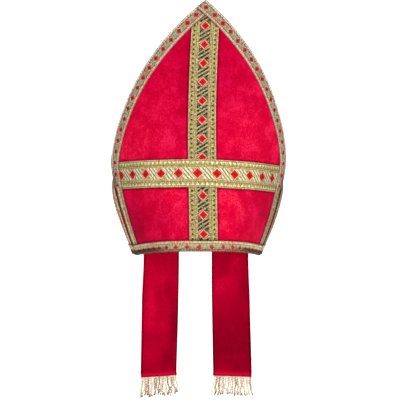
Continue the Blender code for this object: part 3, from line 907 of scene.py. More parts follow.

# %% [markdown]
# ## Fringe cord
#
# The fringe is cut cord: two thin strands of cream rayon, with a little gold, twisted together.
# The rayon is shiny, the grooves between strands hold shade, which is painted into the colour,
# and the cords are darker towards their cut ends. Its colours come from an attribute that the
# cords' own maths fills in, because only that maths knows where a groove is.

# %% Fringe cord
cord, tree, shader = new_finish("cream_rayon_cord", Roughness=0.45, IOR=1.5, Sheen_Weight=0.2)
tone = add(tree, "Attribute", attribute_name="press", output="Fac")
# from the painted shade of a groove to a crest
GROOVE_TO_CREST = ["#5A4526", "#96764A", "#D2BC94", "#EBDFC8", "#FAF4E8"]
stops = list(zip((0.0, 0.25, 0.50, 0.75, 1.0), GROOVE_TO_CREST))
colour = add(tree, "ValToRGB", (tone,), stops=stops)
tree.links.new(colour, shader.inputs["Base Color"])
FINISHES["cord"] = cord

heading, tree, shader = new_finish("pink_cream_heading", Roughness=0.6, IOR=1.5)
shader.inputs["Base Color"].default_value = linear("#F4D9CC")
FINISHES["heading"] = heading
print("finishes:", ", ".join(FINISHES))

# %% [markdown]
# ## The two velvet panels
#
# Each panel is cut as a pointed arch, stiffened, and turned in all round. Its rows run from the
# rim to the tip and its columns from side to side; near every edge they crowd together to round
# it. Where the two panels meet below the seam's top, their edges touch, which is the seam.

# %% Where light and shade are painted on the velvet, and where the galloon will be
PANEL_PAINTED_LIGHT = [  # painted light and shade: middle s and z, width and height in mm, strength
    (0, 310, 90, 95, -0.24),
    (-24, 205, 16, 70, -0.14),
    (26, 240, 14, 40, -0.08),
    (-100, 165, 30, 28, 0.10),
    (80, 165, 50, 26, 0.12),
    (-150, 36, 50, 50, -0.42),
    (-108, 42, 22, 28, -0.20),
    (-64, 40, 18, 22, -0.12),
    (122, 62, 40, 38, -0.26),
    (42, 60, 20, 34, 0.18),
    (-40, 76, 18, 18, 0.12),
]


def upright_middle(z):
    """The s of the upright strip's middle: sewn on by eye, it wanders as a cosine of height."""
    return UPRIGHT_WANDER * np.cos(2 * math.pi * z / UPRIGHT_WANDER_LENGTH)


def level_middle(share):
    """The height of the level strip's middle, which slopes down a little to the right."""
    return CROSS_BAND_MIDDLE + CROSS_BAND_SLOPE * SEAM_HALF_CLOTH * share


# these places are painted light and shade on the panels
print("places where the pile is leaned:", len(PANEL_PAINTED_LIGHT))

# %% Velvet panels
PANEL_ROW_STEP, PANEL_COLUMNS = 0.0026, 110


def velvet_to_braid(panel, s, z, share):
    """The distance to the nearest braid: the least of the distances to the braids' edges."""
    gap = np.minimum(
        panel["half_cloth"](z) - np.abs(s) - NARROW_BRAID, z - rim_height(share) - RIM_BRAID
    )
    if panel is FRONT:
        upright = np.abs(s - upright_middle(z)) - WIDE_BRAID / 2
        level = np.abs(z - level_middle(s / SEAM_HALF_CLOTH)) - WIDE_BRAID / 2
        gap = np.minimum(gap, np.minimum(upright, level))
    return gap


def velvet_panel(name, panel):
    """Shares of the half width times the half width at each height, and the wall's two faces.

    The wall is its middle surface plus and minus half its thickness, which an edge rounds off.
    """
    half_cloth, radius = panel["half_cloth"], VELVET_WALL / 2
    rows = between(0, TIP_HEIGHT, PANEL_ROW_STEP, radius)[:, None]
    half = np.maximum(0, half_cloth(rows))
    near = np.minimum(EDGE_PLACES * radius, half)
    level = np.linspace(-1, 1, PANEL_COLUMNS)[None, 1:-1] * (half - near[:, -1:])
    s = np.concatenate([near - half, level, (half - near)[:, ::-1]], 1)
    share = s / np.maximum(half, TINY)
    z = rim_height(share) * (1 - rows / TIP_HEIGHT) + rows
    s = share * np.maximum(0, half_cloth(z))
    edge = np.minimum(np.abs(half_cloth(z)) - np.abs(s), np.minimum(rows, TIP_HEIGHT - rows))
    wall = radius * round_edge(edge, radius)
    face, back = (laid(panel, s, z, side * wall - radius) for side in (1, -1))
    mesh = closed_cloth(
        f"{name}_velvet",
        face,
        back,
        np.stack([s, z], -1),
        press=pressed(s * panel["outward"], z, PANEL_PAINTED_LIGHT),
        to_edge=1000 * np.maximum(0, velvet_to_braid(panel, s, z, share)),
    )
    finishes = FINISHES["velvet"], FINISHES["woven_back"]
    return piece(mesh, "crimson_velvet", f"{name}_panel", *finishes)


velvets = {name: velvet_panel(name, panel) for name, panel in PANELS.items()}

# %% [markdown]
# ## Braid laid on the panels
#
# A braid is a ribbon with ribs. Along its length it follows a line that is drawn in the flat
# cloth, and across it has a profile: a body 0.7 mm thick, a fat rib at each edge, and thinner
# ribs where the lanes change. Sweeping a profile along a path is what a bevelled curve does
# too, but a curve knows nothing of the panel that it lies on, and would twist off it.

# %% A ribbon with a profile
BRAID_BODY, BRAID_EDGE, ROW_STEP = 0.0007, 0.0004, 0.0018
EDGE_SHADE, END_SHADE, END_LIGHT = 0.0009, 0.0035, 0.4  # how far shade reaches in, and its light
BRAIDS = {  # each rib's distance from the middle line, half width and height, in metres
    "narrow": {
        "slot": "narrow_gold_braid",
        "half": NARROW_BRAID / 2,
        "column": 0.0005,
        "ribs": [(0.0071, 0.0010, 0.00035), (0.0049, 0.0005, 0.00015)],
        "edge_light": 0.50,
    },
    "rim": {
        "slot": "narrow_gold_braid",
        "half": RIM_BRAID / 2,
        "column": 0.0005,
        "ribs": [(0.0058, 0.0010, 0.00035), (0.0040, 0.0005, 0.00015)],
        "edge_light": 0.65,
    },
    "wide": {
        "slot": "wide_gold_galloon",
        "half": WIDE_BRAID / 2,
        "column": 0.0006,
        "ribs": [(0.0175, 0.0011, 0.00040), (0.0080, 0.0006, 0.00020), (0.0097, 0.0006, 0.00020)],
        "edge_light": 0.45,
    },
}


def across_places(kind):
    """The columns of a braid: even ones, and closer ones at the two edges."""
    half = BRAIDS[kind]["half"]
    return between(-half, half, BRAIDS[kind]["column"], BRAID_EDGE)


def ribbon(name, node, kind, finish, panel, s, z, along, across, lift=GAP, press=1.0, worn=0.0):
    """The face stands off the panel by lift plus the profile, and the back by lift alone.

    The profile is the body, plus for each rib one minus the square of its share, cut at zero.
    along and across are the place on the ribbon, across from its middle line. The last two go to
    the finish: painted light and shade, and brown wear with painted shade. The turned ends and the
    last millimetre at the edges get painted shade.
    """
    braid = BRAIDS[kind]
    given = np.broadcast_arrays(s, z, along, across, lift, press, worn)
    s, z, along, across, lift, press, worn = given
    away = np.abs(across)
    thick = np.full(s.shape, BRAID_BODY)
    for place, half_width, height in braid["ribs"]:
        thick = thick + height * np.maximum(0, 1 - ((away - place) / half_width) ** 2)
    ends = np.minimum(np.abs(along - along[:1]), np.abs(along[-1:] - along))
    edge = np.minimum(braid["half"] - away, ends)
    thick = thick * round_edge(edge, BRAID_EDGE)
    light = braid["edge_light"]
    press = press * (light + (1 - light) * ease(edge / EDGE_SHADE))
    press = press * (END_LIGHT + (1 - END_LIGHT) * ease(ends / END_SHADE))
    face, back = laid(panel, s, z, lift + thick), laid(panel, s, z, lift)
    chart = np.stack([along, across], -1)
    mesh = closed_cloth(name, face, back, chart, press=press, worn=worn)
    return piece(mesh, braid["slot"], node, FINISHES[finish], FINISHES[finish])


for kind, braid in BRAIDS.items():
    thickest = BRAID_BODY + max(height for _, _, height in braid["ribs"])
    print(f"{kind} braid: {2000 * braid['half']:.1f} mm wide, {1000 * thickest:.2f} mm thick")

# %% Braid round the rim
RIM_PHASE = {"front": 0.0042, "back": 0.0}
# towards the sides: painted shade on the lower half, a painted highlight on the upper half
RIM_PAINTED_FROM, RIM_PAINTED_OVER = 0.25, 0.40  # shares of the half width
LEFT_RIM_LIGHT = 0.8  # the painted light is weaker on the left side
RIM_BROWN_SHADE = {"places": (-7, -4, -1, 1), "worn": (0.3, 0.6, 0.9, 0.0)}
RIM_PAINTED_LIGHT = {
    "places": (-7.0, -5.0, -2.8, -1.0, 1.0, 4.0, 7.0),
    "light": (0.90, 0.64, 0.32, 0.32, 1.36, 1.14, 0.70),
}


def rim_braid(name, panel):
    """From seam to seam: s is the share of the half width, and z is the rim's height plus across.

    Towards the sides its lower half has painted brown shade, its upper half a painted highlight.
    """
    across = across_places("rim")[None, :]
    length = 2 * float(panel["half_cloth"](0))
    share = between(-1, 1, 2 * ROW_STEP / length, 2 * BRAID_EDGE / length)[:, None]
    z = rim_height(share) + across + RIM_BRAID / 2
    s = share * panel["half_cloth"](z)
    along = share * length / 2 + RIM_PHASE[name]
    rim_painted_share = ease((np.abs(share) - RIM_PAINTED_FROM) / RIM_PAINTED_OVER)
    brown = np.interp(1000 * across, RIM_BROWN_SHADE["places"], RIM_BROWN_SHADE["worn"])
    light = np.interp(1000 * across, RIM_PAINTED_LIGHT["places"], RIM_PAINTED_LIGHT["light"])
    light = light * np.where(share < 0, LEFT_RIM_LIGHT, 1.0)
    press, worn = 1 + rim_painted_share * (light - 1), rim_painted_share * brown
    names = f"{name}_rim_ribbon", f"{name}_rim_braid"
    return ribbon(*names, "rim", "rim", panel, s, z, along, across, press=press, worn=worn)


rim_ribbons = {name: rim_braid(name, panel) for name, panel in PANELS.items()}

# %% The arch's outline
OUTLINE_SAMPLES, PAST_TIP = 1600, 0.050
ENDS_BELOW, ENDS_ABOVE = 0.080, 0.030  # where by the tip a border's end is looked for
BORDER_BOTTOM = RIM_BRAID + GAP  # the borders start just above the rim's braid


def outline(panel, inset):
    """Heights from the rim to past the tip, and the outline at that inset from the edge."""
    heights = np.linspace(0, TIP_HEIGHT + PAST_TIP, OUTLINE_SAMPLES)
    return heights, *edge_offset(panel, heights, inset)


def border_end(panel, inset, limit):
    """The height at which a line of the braid reaches the limit on the other side."""
    heights = np.linspace(TIP_HEIGHT - ENDS_BELOW, TIP_HEIGHT + ENDS_ABOVE, OUTLINE_SAMPLES)
    s, z = edge_offset(panel, heights, inset)
    return np.interp(0, -(s + limit(z)), heights)


_, inner_s, inner_z = outline(FRONT, NARROW_BRAID + GAP)
print("width between the front's borders at its widest, mm:", round(2000 * inner_s.max()))

# %% Wear, and painted light and shade, along the side seams
# Below the seam's top the two panels' braids meet in a groove with painted shade, and are rubbed
# along it. The rib beside the groove has a painted highlight, most of all on the left. Just above
# the seam's top, where the panels part, the braid folds in and has painted shade. Places are
# distances from the edge, and SEAM_LIGHT says by how much the rib's painted highlight is lighter
# and the groove's painted shade darker on the left and right.
SEAM_FADE, SEAM_WEAR_AND_SHADE = 0.008, 0.3
GROOVE_WIDTH, GROOVE_FADE = 0.0040, 0.0026
RIB_PLACE, RIB_REACH = 0.0072, 0.0022
CREASE_ABOVE, CREASE_HEIGHT, CREASE_SHADE = 0.008, 0.016, 0.62
CREASE_WIDTH, CREASE_FADE = 0.0075, 0.0045
SEAM_LIGHT = {-1: {"rib": 1.7, "groove": 0.66}, 1: {"rib": 0.3, "groove": 0.82}}


def seam_painted_light_and_wear(side, z, inset):
    """Painted light: a bell on the rib less groove and crease shade; and brown of wear and shade.
    """
    seam = ease((SEAM_TOP + SEAM_FADE / 2 - z) / SEAM_FADE)
    groove = ease((GROOVE_WIDTH - inset) / GROOVE_FADE)
    rib = np.exp(-(((inset - RIB_PLACE) / RIB_REACH) ** 2))
    crease = np.exp(-(((z - SEAM_TOP - CREASE_ABOVE) / CREASE_HEIGHT) ** 2))
    crease = crease * ease((CREASE_WIDTH - inset) / CREASE_FADE)
    light = 1 + seam * (SEAM_LIGHT[side]["rib"] * rib - SEAM_LIGHT[side]["groove"] * groove)
    return light * (1 - CREASE_SHADE * crease), seam * (SEAM_WEAR_AND_SHADE + (1 - SEAM_WEAR_AND_SHADE) * groove)


# %% Braid up the sides and along the arch
FOOT_BEND = 8  # how sharply a border's foot bends to the rim's curve


def edge_border(name, panel, side):
    """The outline moved in by each column's place, from the rim's braid to the tip.

    The right border runs over the tip to the other edge, and the left one ends against it.
    """
    across = across_places("narrow")
    inset = across + NARROW_BRAID / 2
    _, inner_s, inner_z = outline(panel, NARROW_BRAID + GAP)
    limit = panel["half_cloth"] if side > 0 else (lambda z: np.interp(z, inner_z, inner_s))
    ends = np.array([border_end(panel, place, limit) for place in inset])
    heights, middle_s, middle_z = outline(panel, NARROW_BRAID / 2)
    steps = np.hypot(np.diff(middle_s), np.diff(middle_z))
    lengths = np.concatenate([[0], np.cumsum(steps)])
    start, finish = np.interp([BORDER_BOTTOM, ends.max()], heights, lengths)
    share = between(0, 1, ROW_STEP / (finish - start), BRAID_EDGE / (finish - start))[:, None]
    even = np.interp(start + share * (finish - start), lengths, heights)
    rise = (ends - BORDER_BOTTOM)[None, :] / (ends.max() - BORDER_BOTTOM)
    height = BORDER_BOTTOM + (even - BORDER_BOTTOM) * rise
    s, z = edge_offset(panel, height, inset[None, :] + GAP / 2)
    lowest = rim_height(s / panel["half_cloth"](z)) + BORDER_BOTTOM
    z = z + (lowest[:1] - z[:1]) * (1 - share) ** FOOT_BEND
    along, across = np.interp(height, heights, lengths), across[None, :]
    press, worn = seam_painted_light_and_wear(side, z, inset[None, :])
    part = f"{name}_right" if side > 0 else f"{name}_left"
    names = f"{part}_edging", f"{part}_border"
    s = side * s
    return ribbon(*names, "narrow", "narrow", panel, s, z, along, across, press=press, worn=worn)


edgings = {
    name: [edge_border(name, panel, side) for side in (-1, 1)] for name, panel in PANELS.items()
}

# %% [markdown]
# ## The cross of wide galloon
#
# The upright strip was sewn on first, and the level strip lies over it, so it climbs a
# millimetre in the middle. Both ends of the level strip and the top of the upright one run
# under the edging, cut to the arch's line.

# %% Wide galloon
UPRIGHT_PHASE, LEVEL_PHASE = -0.0035, 0.0067
UPRIGHT_CLOSE, UPRIGHT_EASED = 1.012, 0.08  # the upright strip's repeats stretch towards the top
LEVEL_LENGTH = 0.23
LEVEL_SHADE_FROM, LEVEL_SHADE_OVER, LEVEL_SHADE_BY = 0.070, 0.045, 0.26  # towards its ends the level strip gets painted shade


def upright_galloon():
    """Up the middle line, with its top cut to the arch: s is the middle's plus the place across."""
    across = across_places("wide")[None, :]
    top = np.interp(-np.abs(across), -inner_s, inner_z)
    top = np.interp(-np.abs(across + upright_middle(top)), -inner_s, inner_z)
    bottom = rim_height((across + upright_middle(0)) / RIM_HALF_CLOTH) + BORDER_BOTTOM
    length = float(top.max() - bottom.min())
    share = between(0, 1, ROW_STEP / length, BRAID_EDGE / length)[:, None]
    z = bottom + (top - bottom) * share
    s = across + upright_middle(z)
    along = UPRIGHT_CLOSE * z - UPRIGHT_EASED * z**2 + UPRIGHT_PHASE
    names = "upright_galloon", "upright_band"
    return ribbon(*names, "wide", "upright_wide", FRONT, s, z, along, across)


def level_galloon():
    """Across the front: s is a share of the width between the edgings, and its middle slopes."""
    across = across_places("wide")[None, :]
    share = between(-1, 1, 2 * ROW_STEP / LEVEL_LENGTH, 2 * BRAID_EDGE / LEVEL_LENGTH)[:, None]
    z = level_middle(share) + across
    s = share * (np.interp(z, inner_z, inner_s) - GAP)
    climb = ease((WIDE_BRAID / 2 + 2 * CROSS_BAND_STEP - np.abs(s)) / CROSS_BAND_STEP)
    lift = GAP + climb * (BRAID_WALL + GAP)
    level_end_shade = 1 - LEVEL_SHADE_BY * ease((np.abs(s) - LEVEL_SHADE_FROM) / LEVEL_SHADE_OVER)
    names = "level_galloon", "cross_band"
    along = s + LEVEL_PHASE
    return ribbon(*names, "wide", "level_wide", FRONT, s, z, along, across, lift, level_end_shade)


cross = [upright_galloon(), level_galloon()]

# %% [markdown]
# ## The lappets
#
# A lappet is a strip of velvet sewn double and turned, so its edges are full and round, with a
# painted dark line beside them for their shade. It is caught inside the back rim and follows the
# rim's curve there.
# Below, it hangs free, eases out of that curve, and waves a little. The waves could come from a
# cloth simulation, but a strip this narrow hangs almost straight, and a few sines put each soft
# fold where the photograph shows it.

# %% How the lappets hang, and the light and shade painted on them
LAPPETS = {  # the turn at the hem in degrees, the drift outwards and the lengthwise wave
    "left": {"side": -1, "turn": 25, "drift": 0.0018, "wave": 0.0030, "wave_length": 0.150},
    "right": {"side": 1, "turn": -21, "drift": 0.0029, "wave": 0.0025, "wave_length": 0.170},
}
LAPPET_PAINTED_LIGHT = {  # painted light at some heights in mm: lighter at the top, where the hat shades it, darker below
    "left": {-175: 0.64, -157: 0.74, -140: 0.82, -118: 0.84, -95: 1.08, -60: 1.17, -20: 1.28},
    "right": {-176: 0.66, -165: 0.56, -140: 0.50, -100: 0.60, -75: 0.86, -50: 1.08, -20: 1.18},
}
LAPPET_PAINTED_PLACES = {  # and painted light and shade of its folds, as on the panels
    "left": [
        (-15, -66, 8, 36, 0.40),
        (2, -34, 9, 14, 0.14),
        (12, -52, 6, 14, -0.22),
        (23, -104, 9, 40, -0.46),
        (-20, -119, 12, 9, -0.14),
        (12, -150, 12, 14, -0.30),
        (6, -104, 8, 8, 0.14),
        (-14, -150, 9, 10, 0.16),
    ],
    "right": [
        (-18, -46, 7, 12, 0.34),
        (8, -10, 9, 12, 0.36),
        (-4, -34, 8, 10, 0.18),
        (22, -50, 9, 26, -0.42),
        (8, -78, 9, 16, -0.14),
        (0, -150, 30, 5, 0.10),
        (-16, -170, 12, 6, 0.26),
    ],
}
FOLD_HEIGHT, FOLDS_GROW_OVER, SECOND_FOLD = 0.0007, 0.06, 0.5
FOLD_TURNS, FOLD_WANDER = (2.6, 5.1), (0.045, 0.030)  # radians to the side, metres to a radian
HEM_LEAN, HEM_HEIGHT = 0.0016, 0.007


def back_slope(side):
    """The angle of the back's rim at the lappet's middle, from straight across."""
    s = np.array([side * LAPPET_MIDDLE - TINY, side * LAPPET_MIDDLE + TINY])
    ends = flat_to_space(BACK, s, np.zeros(2))
    return math.atan2(ends[1, 1] - ends[0, 1], ends[1, 0] - ends[0, 0])


print("the rim's slope at the lappets, degrees:", round(math.degrees(back_slope(1))))

# %% The lappets' surface


def lappet_point(lappet, across, z):
    """A point of the lappet's back face, across from -1 to 1 and at height z.

    Inside the rim it is the panel's inner face. Below, it eases into a straight line across,
    which drifts, turns, and waves as the sine of the fall over the wave length.
    """
    side, inwards = lappet["side"], -(VELVET_WALL + GAP)
    reach = across * LAPPET_WIDTH / 2
    held = laid(BACK, side * LAPPET_MIDDLE + reach, np.maximum(z, 0), inwards)
    held[..., 2] = z
    down = np.maximum(0, -z)
    length = down / -LAPPET_HEM
    middle = laid(BACK, np.full_like(z, side * LAPPET_MIDDLE), np.zeros_like(z), inwards)
    start = back_slope(side)
    turn = start + (math.radians(lappet["turn"]) - start) * ease(length)
    wave = lappet["wave"] * np.sin(2 * math.pi * down / lappet["wave_length"])
    x = middle[..., 0] + side * lappet["drift"] * length**2 + reach * np.cos(turn)
    y = middle[..., 1] + wave + reach * np.sin(turn)
    hung = np.stack([x, y, z], -1)
    return held + (hung - held) * ease(down / LAPPET_FREE_FALL)[..., None]


def grid_normals(grid):
    """The unit cross product of the steps along a grid's two directions."""
    normal = np.cross(np.gradient(grid, axis=1), np.gradient(grid, axis=0))
    return normal / np.linalg.norm(normal, axis=-1, keepdims=True)


def hem_curl(z):
    """The turned hem, which leans forward as it nears its end."""
    return HEM_LEAN * ease((LAPPET_HEM + HEM_HEIGHT - z) / HEM_HEIGHT)


def soft_folds(lappet, across, z):
    """Shallow folds that run down and wander: two sines across, whose phases shift with z."""
    fold = np.sin(across * FOLD_TURNS[0] + z / FOLD_WANDER[0] + lappet["side"])
    fold = fold + SECOND_FOLD * np.sin(across * FOLD_TURNS[1] - z / FOLD_WANDER[1])
    return FOLD_HEIGHT * np.clip(-z / FOLDS_GROW_OVER, 0, 1) * fold


# %% Lappets
LAPPET_EDGE, LAPPET_SWELL = 0.0022, 0.0002  # the width that rounds off, and a sewn wall's fullness
LAPPET_COLUMN, LAPPET_ROW = 0.0018, 0.0022


def lappet_velvet(name):
    """The middle surface, plus and minus half the wall, which rounds off towards the edges."""
    lappet, half = LAPPETS[name], LAPPET_WIDTH / 2
    s = between(-half, half, LAPPET_COLUMN, LAPPET_EDGE)[None, :]
    z = between(LAPPET_HEM, LAPPET_TOP, LAPPET_ROW, LAPPET_EDGE)[:, None]
    s, z = np.broadcast_arrays(s, z)
    middle = lappet_point(lappet, s / half, z)
    normal = grid_normals(middle)
    lift = LAPPET_WALL / 2 + soft_folds(lappet, s / half, z) + hem_curl(z)
    middle = middle + normal * lift[..., None]
    edge = np.minimum(half - np.abs(s), np.minimum(z - LAPPET_HEM, LAPPET_TOP - z))
    wall = (LAPPET_WALL / 2 + LAPPET_SWELL) * round_edge(edge, LAPPET_EDGE)
    face, back = (middle + normal * (side * wall)[..., None] for side in (1, -1))
    light = LAPPET_PAINTED_LIGHT[name]
    light = np.interp(1000 * z, list(light), list(light.values()))
    mesh = closed_cloth(
        f"{name}_lappet_velvet",
        face,
        back,
        np.stack([s, z], -1),
        press=pressed(s, z, LAPPET_PAINTED_PLACES[name]) * light,
        to_edge=1000 * (half - np.abs(s)),
    )
    return piece(mesh, "crimson_velvet", f"{name}_lappet", FINISHES["lappet"], FINISHES["lappet"])


lappets = {name: lappet_velvet(name) for name in LAPPETS}

# %% [markdown]
# ## The fringe
#
# A fringe is made as a heading, a narrow woven strip, from which every cord hangs by its own
# fold. The heading is stitched under the hem, and its edge looks like a row of small pink beads,
# where the crimson shows through the cream. Each cord is two strands twisted together, so its
# section is a figure with two lobes that turns as it goes down. One function makes all of a
# lappet's cords at once: the cords are the first axis of the arrays, the places down a cord the
# second, and the places round it the third.

# %% Where the cords start, and how they fall
FRINGE_LENGTH, CORDS, CORD_ROWS = 0.030, 25, 44
CORD_RADIUS = 0.00100  # a little thicker than the real cord, so that it shows
SHORTEST_CORD, CORD_SPLAY, CORD_STRAY = 0.86, 0.0034, 0.0012
SIDEWAYS_SWAYS = ((0.0011, 5.0), (0.0006, 13.0))  # each sway's reach, and its turns in radians
DEPTH_SWAY, STAGGER = (0.0010, 6.0), 0.0010  # every other cord hangs further back
SIDEWAYS_GROWTH, DEPTH_GROWTH, FORWARD = 1.4, 2.0, 0.6


def fringe_line(name, share):
    """The hem's line, where the fringe starts: its points, its direction and the way through."""
    lappet = LAPPETS[name]
    hem = lappet_point(lappet, share, np.full_like(share, LAPPET_HEM))
    along = (hem[-1] - hem[0]) / np.linalg.norm(hem[-1] - hem[0])
    through = np.cross(along, (0, 0, 1))
    return hem + through * (LAPPET_WALL / 2) - (0, 0, GAP), along, through


def cord_paths(name, seed):
    """Each cord starts evenly spaced, splays out, strays by the square of its fall, and wavers.

    The wavering is sines of random phase, which grow with the fall.
    """
    chance = np.random.default_rng(seed)
    share = (np.arange(CORDS) + 0.5) / CORDS * 2 - 1
    start, along, through = fringe_line(name, share * (1 - CORD_RADIUS / LAPPET_WIDTH * 2))
    fall = np.linspace(0, 1, CORD_ROWS)[None, :]
    length = FRINGE_LENGTH * chance.uniform(SHORTEST_CORD, 1.0, CORDS)[:, None]
    *phases, depth_phase, _ = chance.uniform(0, 2 * math.pi, (4, CORDS, 1))
    sways = zip(SIDEWAYS_SWAYS, phases)
    sideways = sum(reach * np.sin(fall * turns + phase) for (reach, turns), phase in sways)
    sideways = (sideways + CORD_SPLAY * share[:, None] * fall) * ease(fall * SIDEWAYS_GROWTH)
    sideways = sideways + chance.uniform(-CORD_STRAY, CORD_STRAY, CORDS)[:, None] * fall**2
    reach, turns = DEPTH_SWAY
    depth = reach * np.sin(fall * turns + depth_phase) * ease(fall * DEPTH_GROWTH)
    depth = depth + FORWARD * reach - STAGGER * (np.arange(CORDS) % 2)[:, None]
    paths = start[:, None, :] + along * sideways[..., None] + through * depth[..., None]
    return paths - (length * fall)[..., None] * (0, 0, 1), along, through, chance


for name in LAPPETS:
    ends = fringe_line(name, np.array([-1.0, 1.0]))[0]
    width = np.linalg.norm(ends[1] - ends[0])
    print(f"{name} fringe: {CORDS} cords, {1000 * width / CORDS:.1f} mm apart")

# %% Fringe cords
CORD_TWIST, CORD_SIDES, LOBES, ROUND_END = 0.0080, 10, 0.24, 0.03
LOOSE_FROM, LOOSE_BY, LOOSENING = 0.75, 0.30, (-0.6, 1)  # a cord's cut end loosens or tightens
FRINGE_TONE = {"left": 0.49, "right": 0.60}
GROOVE_TONE, CORD_TONES = 0.20, (-0.30, 0.24)
DARK_FROM, DARK_BY, DARKENING = 0.78, 0.60, (0.2, 1)


def cord_faces():
    """Every cord's grid of four-sided faces, whose last column joins its first."""
    ids = np.arange(CORDS * CORD_ROWS * CORD_SIDES).reshape(CORDS, CORD_ROWS, CORD_SIDES)
    around = np.roll(ids, -1, axis=2)
    return np.stack([ids[:, :-1], around[:, :-1], around[:, 1:], ids[:, 1:]], -1).reshape(-1, 4)


def fringe_cords(name, seed):
    """Rings round each path: the radius is a mean, plus a part that swells twice round a ring.

    The swelling turns once in every twist. A cosine of the same angle is the groove's shade.
    """
    paths, along, through, chance = cord_paths(name, seed)
    fall = np.linspace(0, 1, CORD_ROWS)[None, :, None]
    angle = np.linspace(0, 2 * math.pi, CORD_SIDES, endpoint=False)[None, None, :]
    twist = 2 * math.pi * fall * FRINGE_LENGTH / CORD_TWIST
    lobes = np.cos(2 * (angle - twist - chance.uniform(0, 6, CORDS)[:, None, None]))
    loose = ease((fall - LOOSE_FROM) / (1 - LOOSE_FROM))
    loose = 1 + LOOSE_BY * loose * chance.uniform(*LOOSENING, CORDS)[:, None, None]
    ends = round_edge(np.minimum(fall, 1 - fall), ROUND_END)
    radius = CORD_RADIUS * (1 + LOBES * lobes) * ends * loose
    ring = (radius * np.cos(angle))[..., None] * along
    ring = ring + (radius * np.sin(angle))[..., None] * through
    points = (paths[:, :, None, :] + ring).reshape(-1, 3)
    tone = FRINGE_TONE[name] + GROOVE_TONE * lobes
    tone = tone + chance.uniform(*CORD_TONES, CORDS)[:, None, None]
    dark = ease((fall - DARK_FROM) / (1 - DARK_FROM))
    tone = tone - DARK_BY * dark * chance.uniform(*DARKENING, CORDS)[:, None, None]
    faces = facing_outwards(points, cord_faces())
    mesh = mesh_of(f"{name}_fringe_cords", points, faces, np.zeros((len(points), 2)), press=tone)
    return piece(mesh, "cream_gold_fringe", f"{name}_fringe", FINISHES["cord"])


# %% Fringe heading
HEADING_HEIGHT, HEADING_ROWS, HEADING_END = 0.0024, 9, 0.02
HEAD_BULGE, HEAD_BEADS, BEAD_BULGE = 0.0010, 36, 0.2


def fringe_heading(name):
    """A flat tube under the hem: its half thickness follows a half circle over its height.

    A cosine along it raises the beads, by a fifth of the thickness.
    """
    along = np.linspace(-1, 1, 4 * HEAD_BEADS + 1)[None, :]
    down = np.linspace(0, 1, HEADING_ROWS)[:, None]
    start, _, through = fringe_line(name, along[0])
    middle = start[None, :, :] - (HEADING_HEIGHT * down)[..., None] * (0, 0, 1)
    beads = 1 + BEAD_BULGE * np.cos(math.pi * HEAD_BEADS * along)
    ends = round_edge(1 - np.abs(along), HEADING_END)
    half = HEAD_BULGE * np.sqrt(np.maximum(0, 1 - (2 * down - 1) ** 2)) * beads * ends
    face, back = (middle + through * (side * half)[..., None] for side in (1, -1))
    chart = np.stack(np.broadcast_arrays(along * LAPPET_WIDTH / 2, -HEADING_HEIGHT * down), -1)
    mesh = closed_cloth(f"{name}_fringe_heading", face, back, chart)
    finish = FINISHES["heading"]
    return piece(mesh, "cream_gold_fringe", f"{name}_fringe", finish, finish)


for name, seed in (("left", 7), ("right", 8)):
    fringe_cords(name, seed)
    fringe_heading(name)

# %% [markdown]
# ## Floor, backdrop, light and camera
#
# The photograph shows the hat by itself on white, in soft light from both sides. A sweep is a
# floor that curves up into a wall, so that no corner shows behind the hat. It stands a little
# below the fringe: the hat is held up, as a head holds it. Two large soft lights stand in front
# and a third above, a fourth brightens the backdrop, and the world's own pale light fills the
# hollow.

# %% Sweep
FLOOR_Z, SWEEP_RADIUS, SWEEP_WIDTH = -0.30, 1.30, 8.0
SWEEP_FRONT, SWEEP_BACK, SWEEP_TOP, SWEEP_ROWS = -3.5, 2.60, 3.5, 24


def sweep():
    """A floor, a quarter circle and a wall as one profile in y and z, drawn out along x."""
    turn = np.linspace(0, math.pi / 2, SWEEP_ROWS)
    curve = SWEEP_BACK - SWEEP_RADIUS * (1 - np.sin(turn))
    y = np.concatenate([[SWEEP_FRONT], curve, [SWEEP_BACK]])
    z = np.concatenate([[FLOOR_Z], FLOOR_Z + SWEEP_RADIUS * (1 - np.cos(turn)), [SWEEP_TOP]])
    x = np.array([-SWEEP_WIDTH / 2, SWEEP_WIDTH / 2])[:, None]
    points = np.stack([x + 0 * y, y + 0 * x, z + 0 * x], -1)
    faces = cells(np.arange(points.shape[0] * points.shape[1]).reshape(points.shape[:2]))
    return mesh_of("sweep", points.reshape(-1, 3), faces, np.zeros((points.size // 3, 2)))


paper, tree, shader = new_finish("white_paper_backdrop", Roughness=0.9, Specular_IOR_Level=0.2)
shader.inputs["Base Color"].default_value = linear("#F7F7F6")
mesh = sweep()
mesh.materials.append(paper)
backdrop = bpy.data.objects.new("sweep", mesh)
bpy.context.scene.collection.objects.link(backdrop)
print("sweep:", ", ".join(f"{v:.1f}" for v in backdrop.dimensions), "metres")

# %% Lights and world
HAT_MIDDLE = Vector((0, -0.02, 0.068))
WALL_MIDDLE = Vector((0, 2.4, 0.1))
WORLD_LIGHT = 0.45


def soft_light(name, place, size, power, towards=HAT_MIDDLE):
    """A square area light that faces the hat's middle, or another place."""
    lamp = bpy.data.lights.new(name, "AREA")
    lamp.shape, lamp.size, lamp.energy = "SQUARE", size, power
    made = bpy.data.objects.new(name, lamp)
    made.location = place
    made.rotation_euler = (towards - Vector(place)).to_track_quat("-Z", "Y").to_euler()
    bpy.context.scene.collection.objects.link(made)
    print(f"{name} light: {power} W, {(towards - Vector(place)).length:.1f} m away")


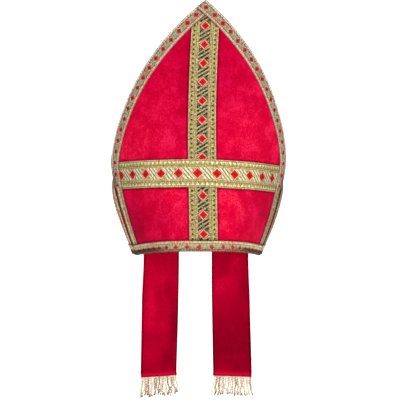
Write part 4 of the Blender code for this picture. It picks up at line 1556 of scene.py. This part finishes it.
soft_light("key", (1.3, -2.0, 1.3), 1.0, 33)
soft_light("fill", (-1.5, -1.8, 0.7), 1.2, 16)
soft_light("top", (0.0, 0.2, 2.2), 1.2, 14)
soft_light("backdrop", (0.0, 1.1, 2.1), 1.2, 42, towards=WALL_MIDDLE)
world = bpy.data.worlds.new("white_room")
world.use_nodes = True
background = world.node_tree.nodes["Background"]
background.inputs["Color"].default_value = (1, 1, 1, 1)
background.inputs["Strength"].default_value = WORLD_LIGHT
bpy.context.scene.world = world
bpy.context.scene.view_settings.view_transform = "Standard"

# %% Camera
# The lozenges' spacing gives the perspective: about 1.4 m away with an 89 mm lens. The camera
# stood a little to the hat's left, and a little lower than what it was aimed at.
CAMERA_AZIMUTH, CAMERA_DROP = math.radians(-3.284), math.radians(2.535)
CAMERA_ROLL, CAMERA_LENS = math.radians(0.137), 88.99
CAMERA_DISTANCE, CAMERA_HEIGHT, AIM_X = 1.3978, 0.01625, 0.00252
aim = Vector((AIM_X, 0.0, CAMERA_HEIGHT + CAMERA_DISTANCE * math.tan(CAMERA_DROP)))
camera = bpy.data.objects.new("camera", bpy.data.cameras.new("camera"))
camera.data.lens, camera.data.sensor_width = CAMERA_LENS, 36
back = Vector((
    math.sin(CAMERA_AZIMUTH) * math.cos(CAMERA_DROP),
    -math.cos(CAMERA_AZIMUTH) * math.cos(CAMERA_DROP),
    -math.sin(CAMERA_DROP),
))
camera.location = aim + back * CAMERA_DISTANCE / math.cos(CAMERA_DROP)
turned = (-back).to_track_quat("-Z", "Y").to_matrix().to_4x4()
camera.rotation_euler = (turned @ Matrix.Rotation(CAMERA_ROLL, 4, "Z")).to_euler()
bpy.context.scene.collection.objects.link(camera)
bpy.context.scene.camera = camera
print("camera at, mm:", [round(1000 * v) for v in camera.location])

# %% [markdown]
# ## The cloths' areas
#
# The braids sewn on each panel are listed, and the area of each velvet panel and lappet is printed.

# %% Sheets
def cloth_area(made):
    """Half of a closed cloth's surface, in square metres."""
    return sum(p.area for p in made.data.polygons) / 2


sewn_on = {name: [made.name for made in (rim_ribbons[name], *edgings[name])] for name in PANELS}
sewn_on["front"] += [made.name for made in cross]
for name, made in velvets.items():
    print(f"{made.name}: {cloth_area(made):.4f} square metres")
for name, made in lappets.items():
    print(f"{made.name}: {cloth_area(made):.4f} square metres")
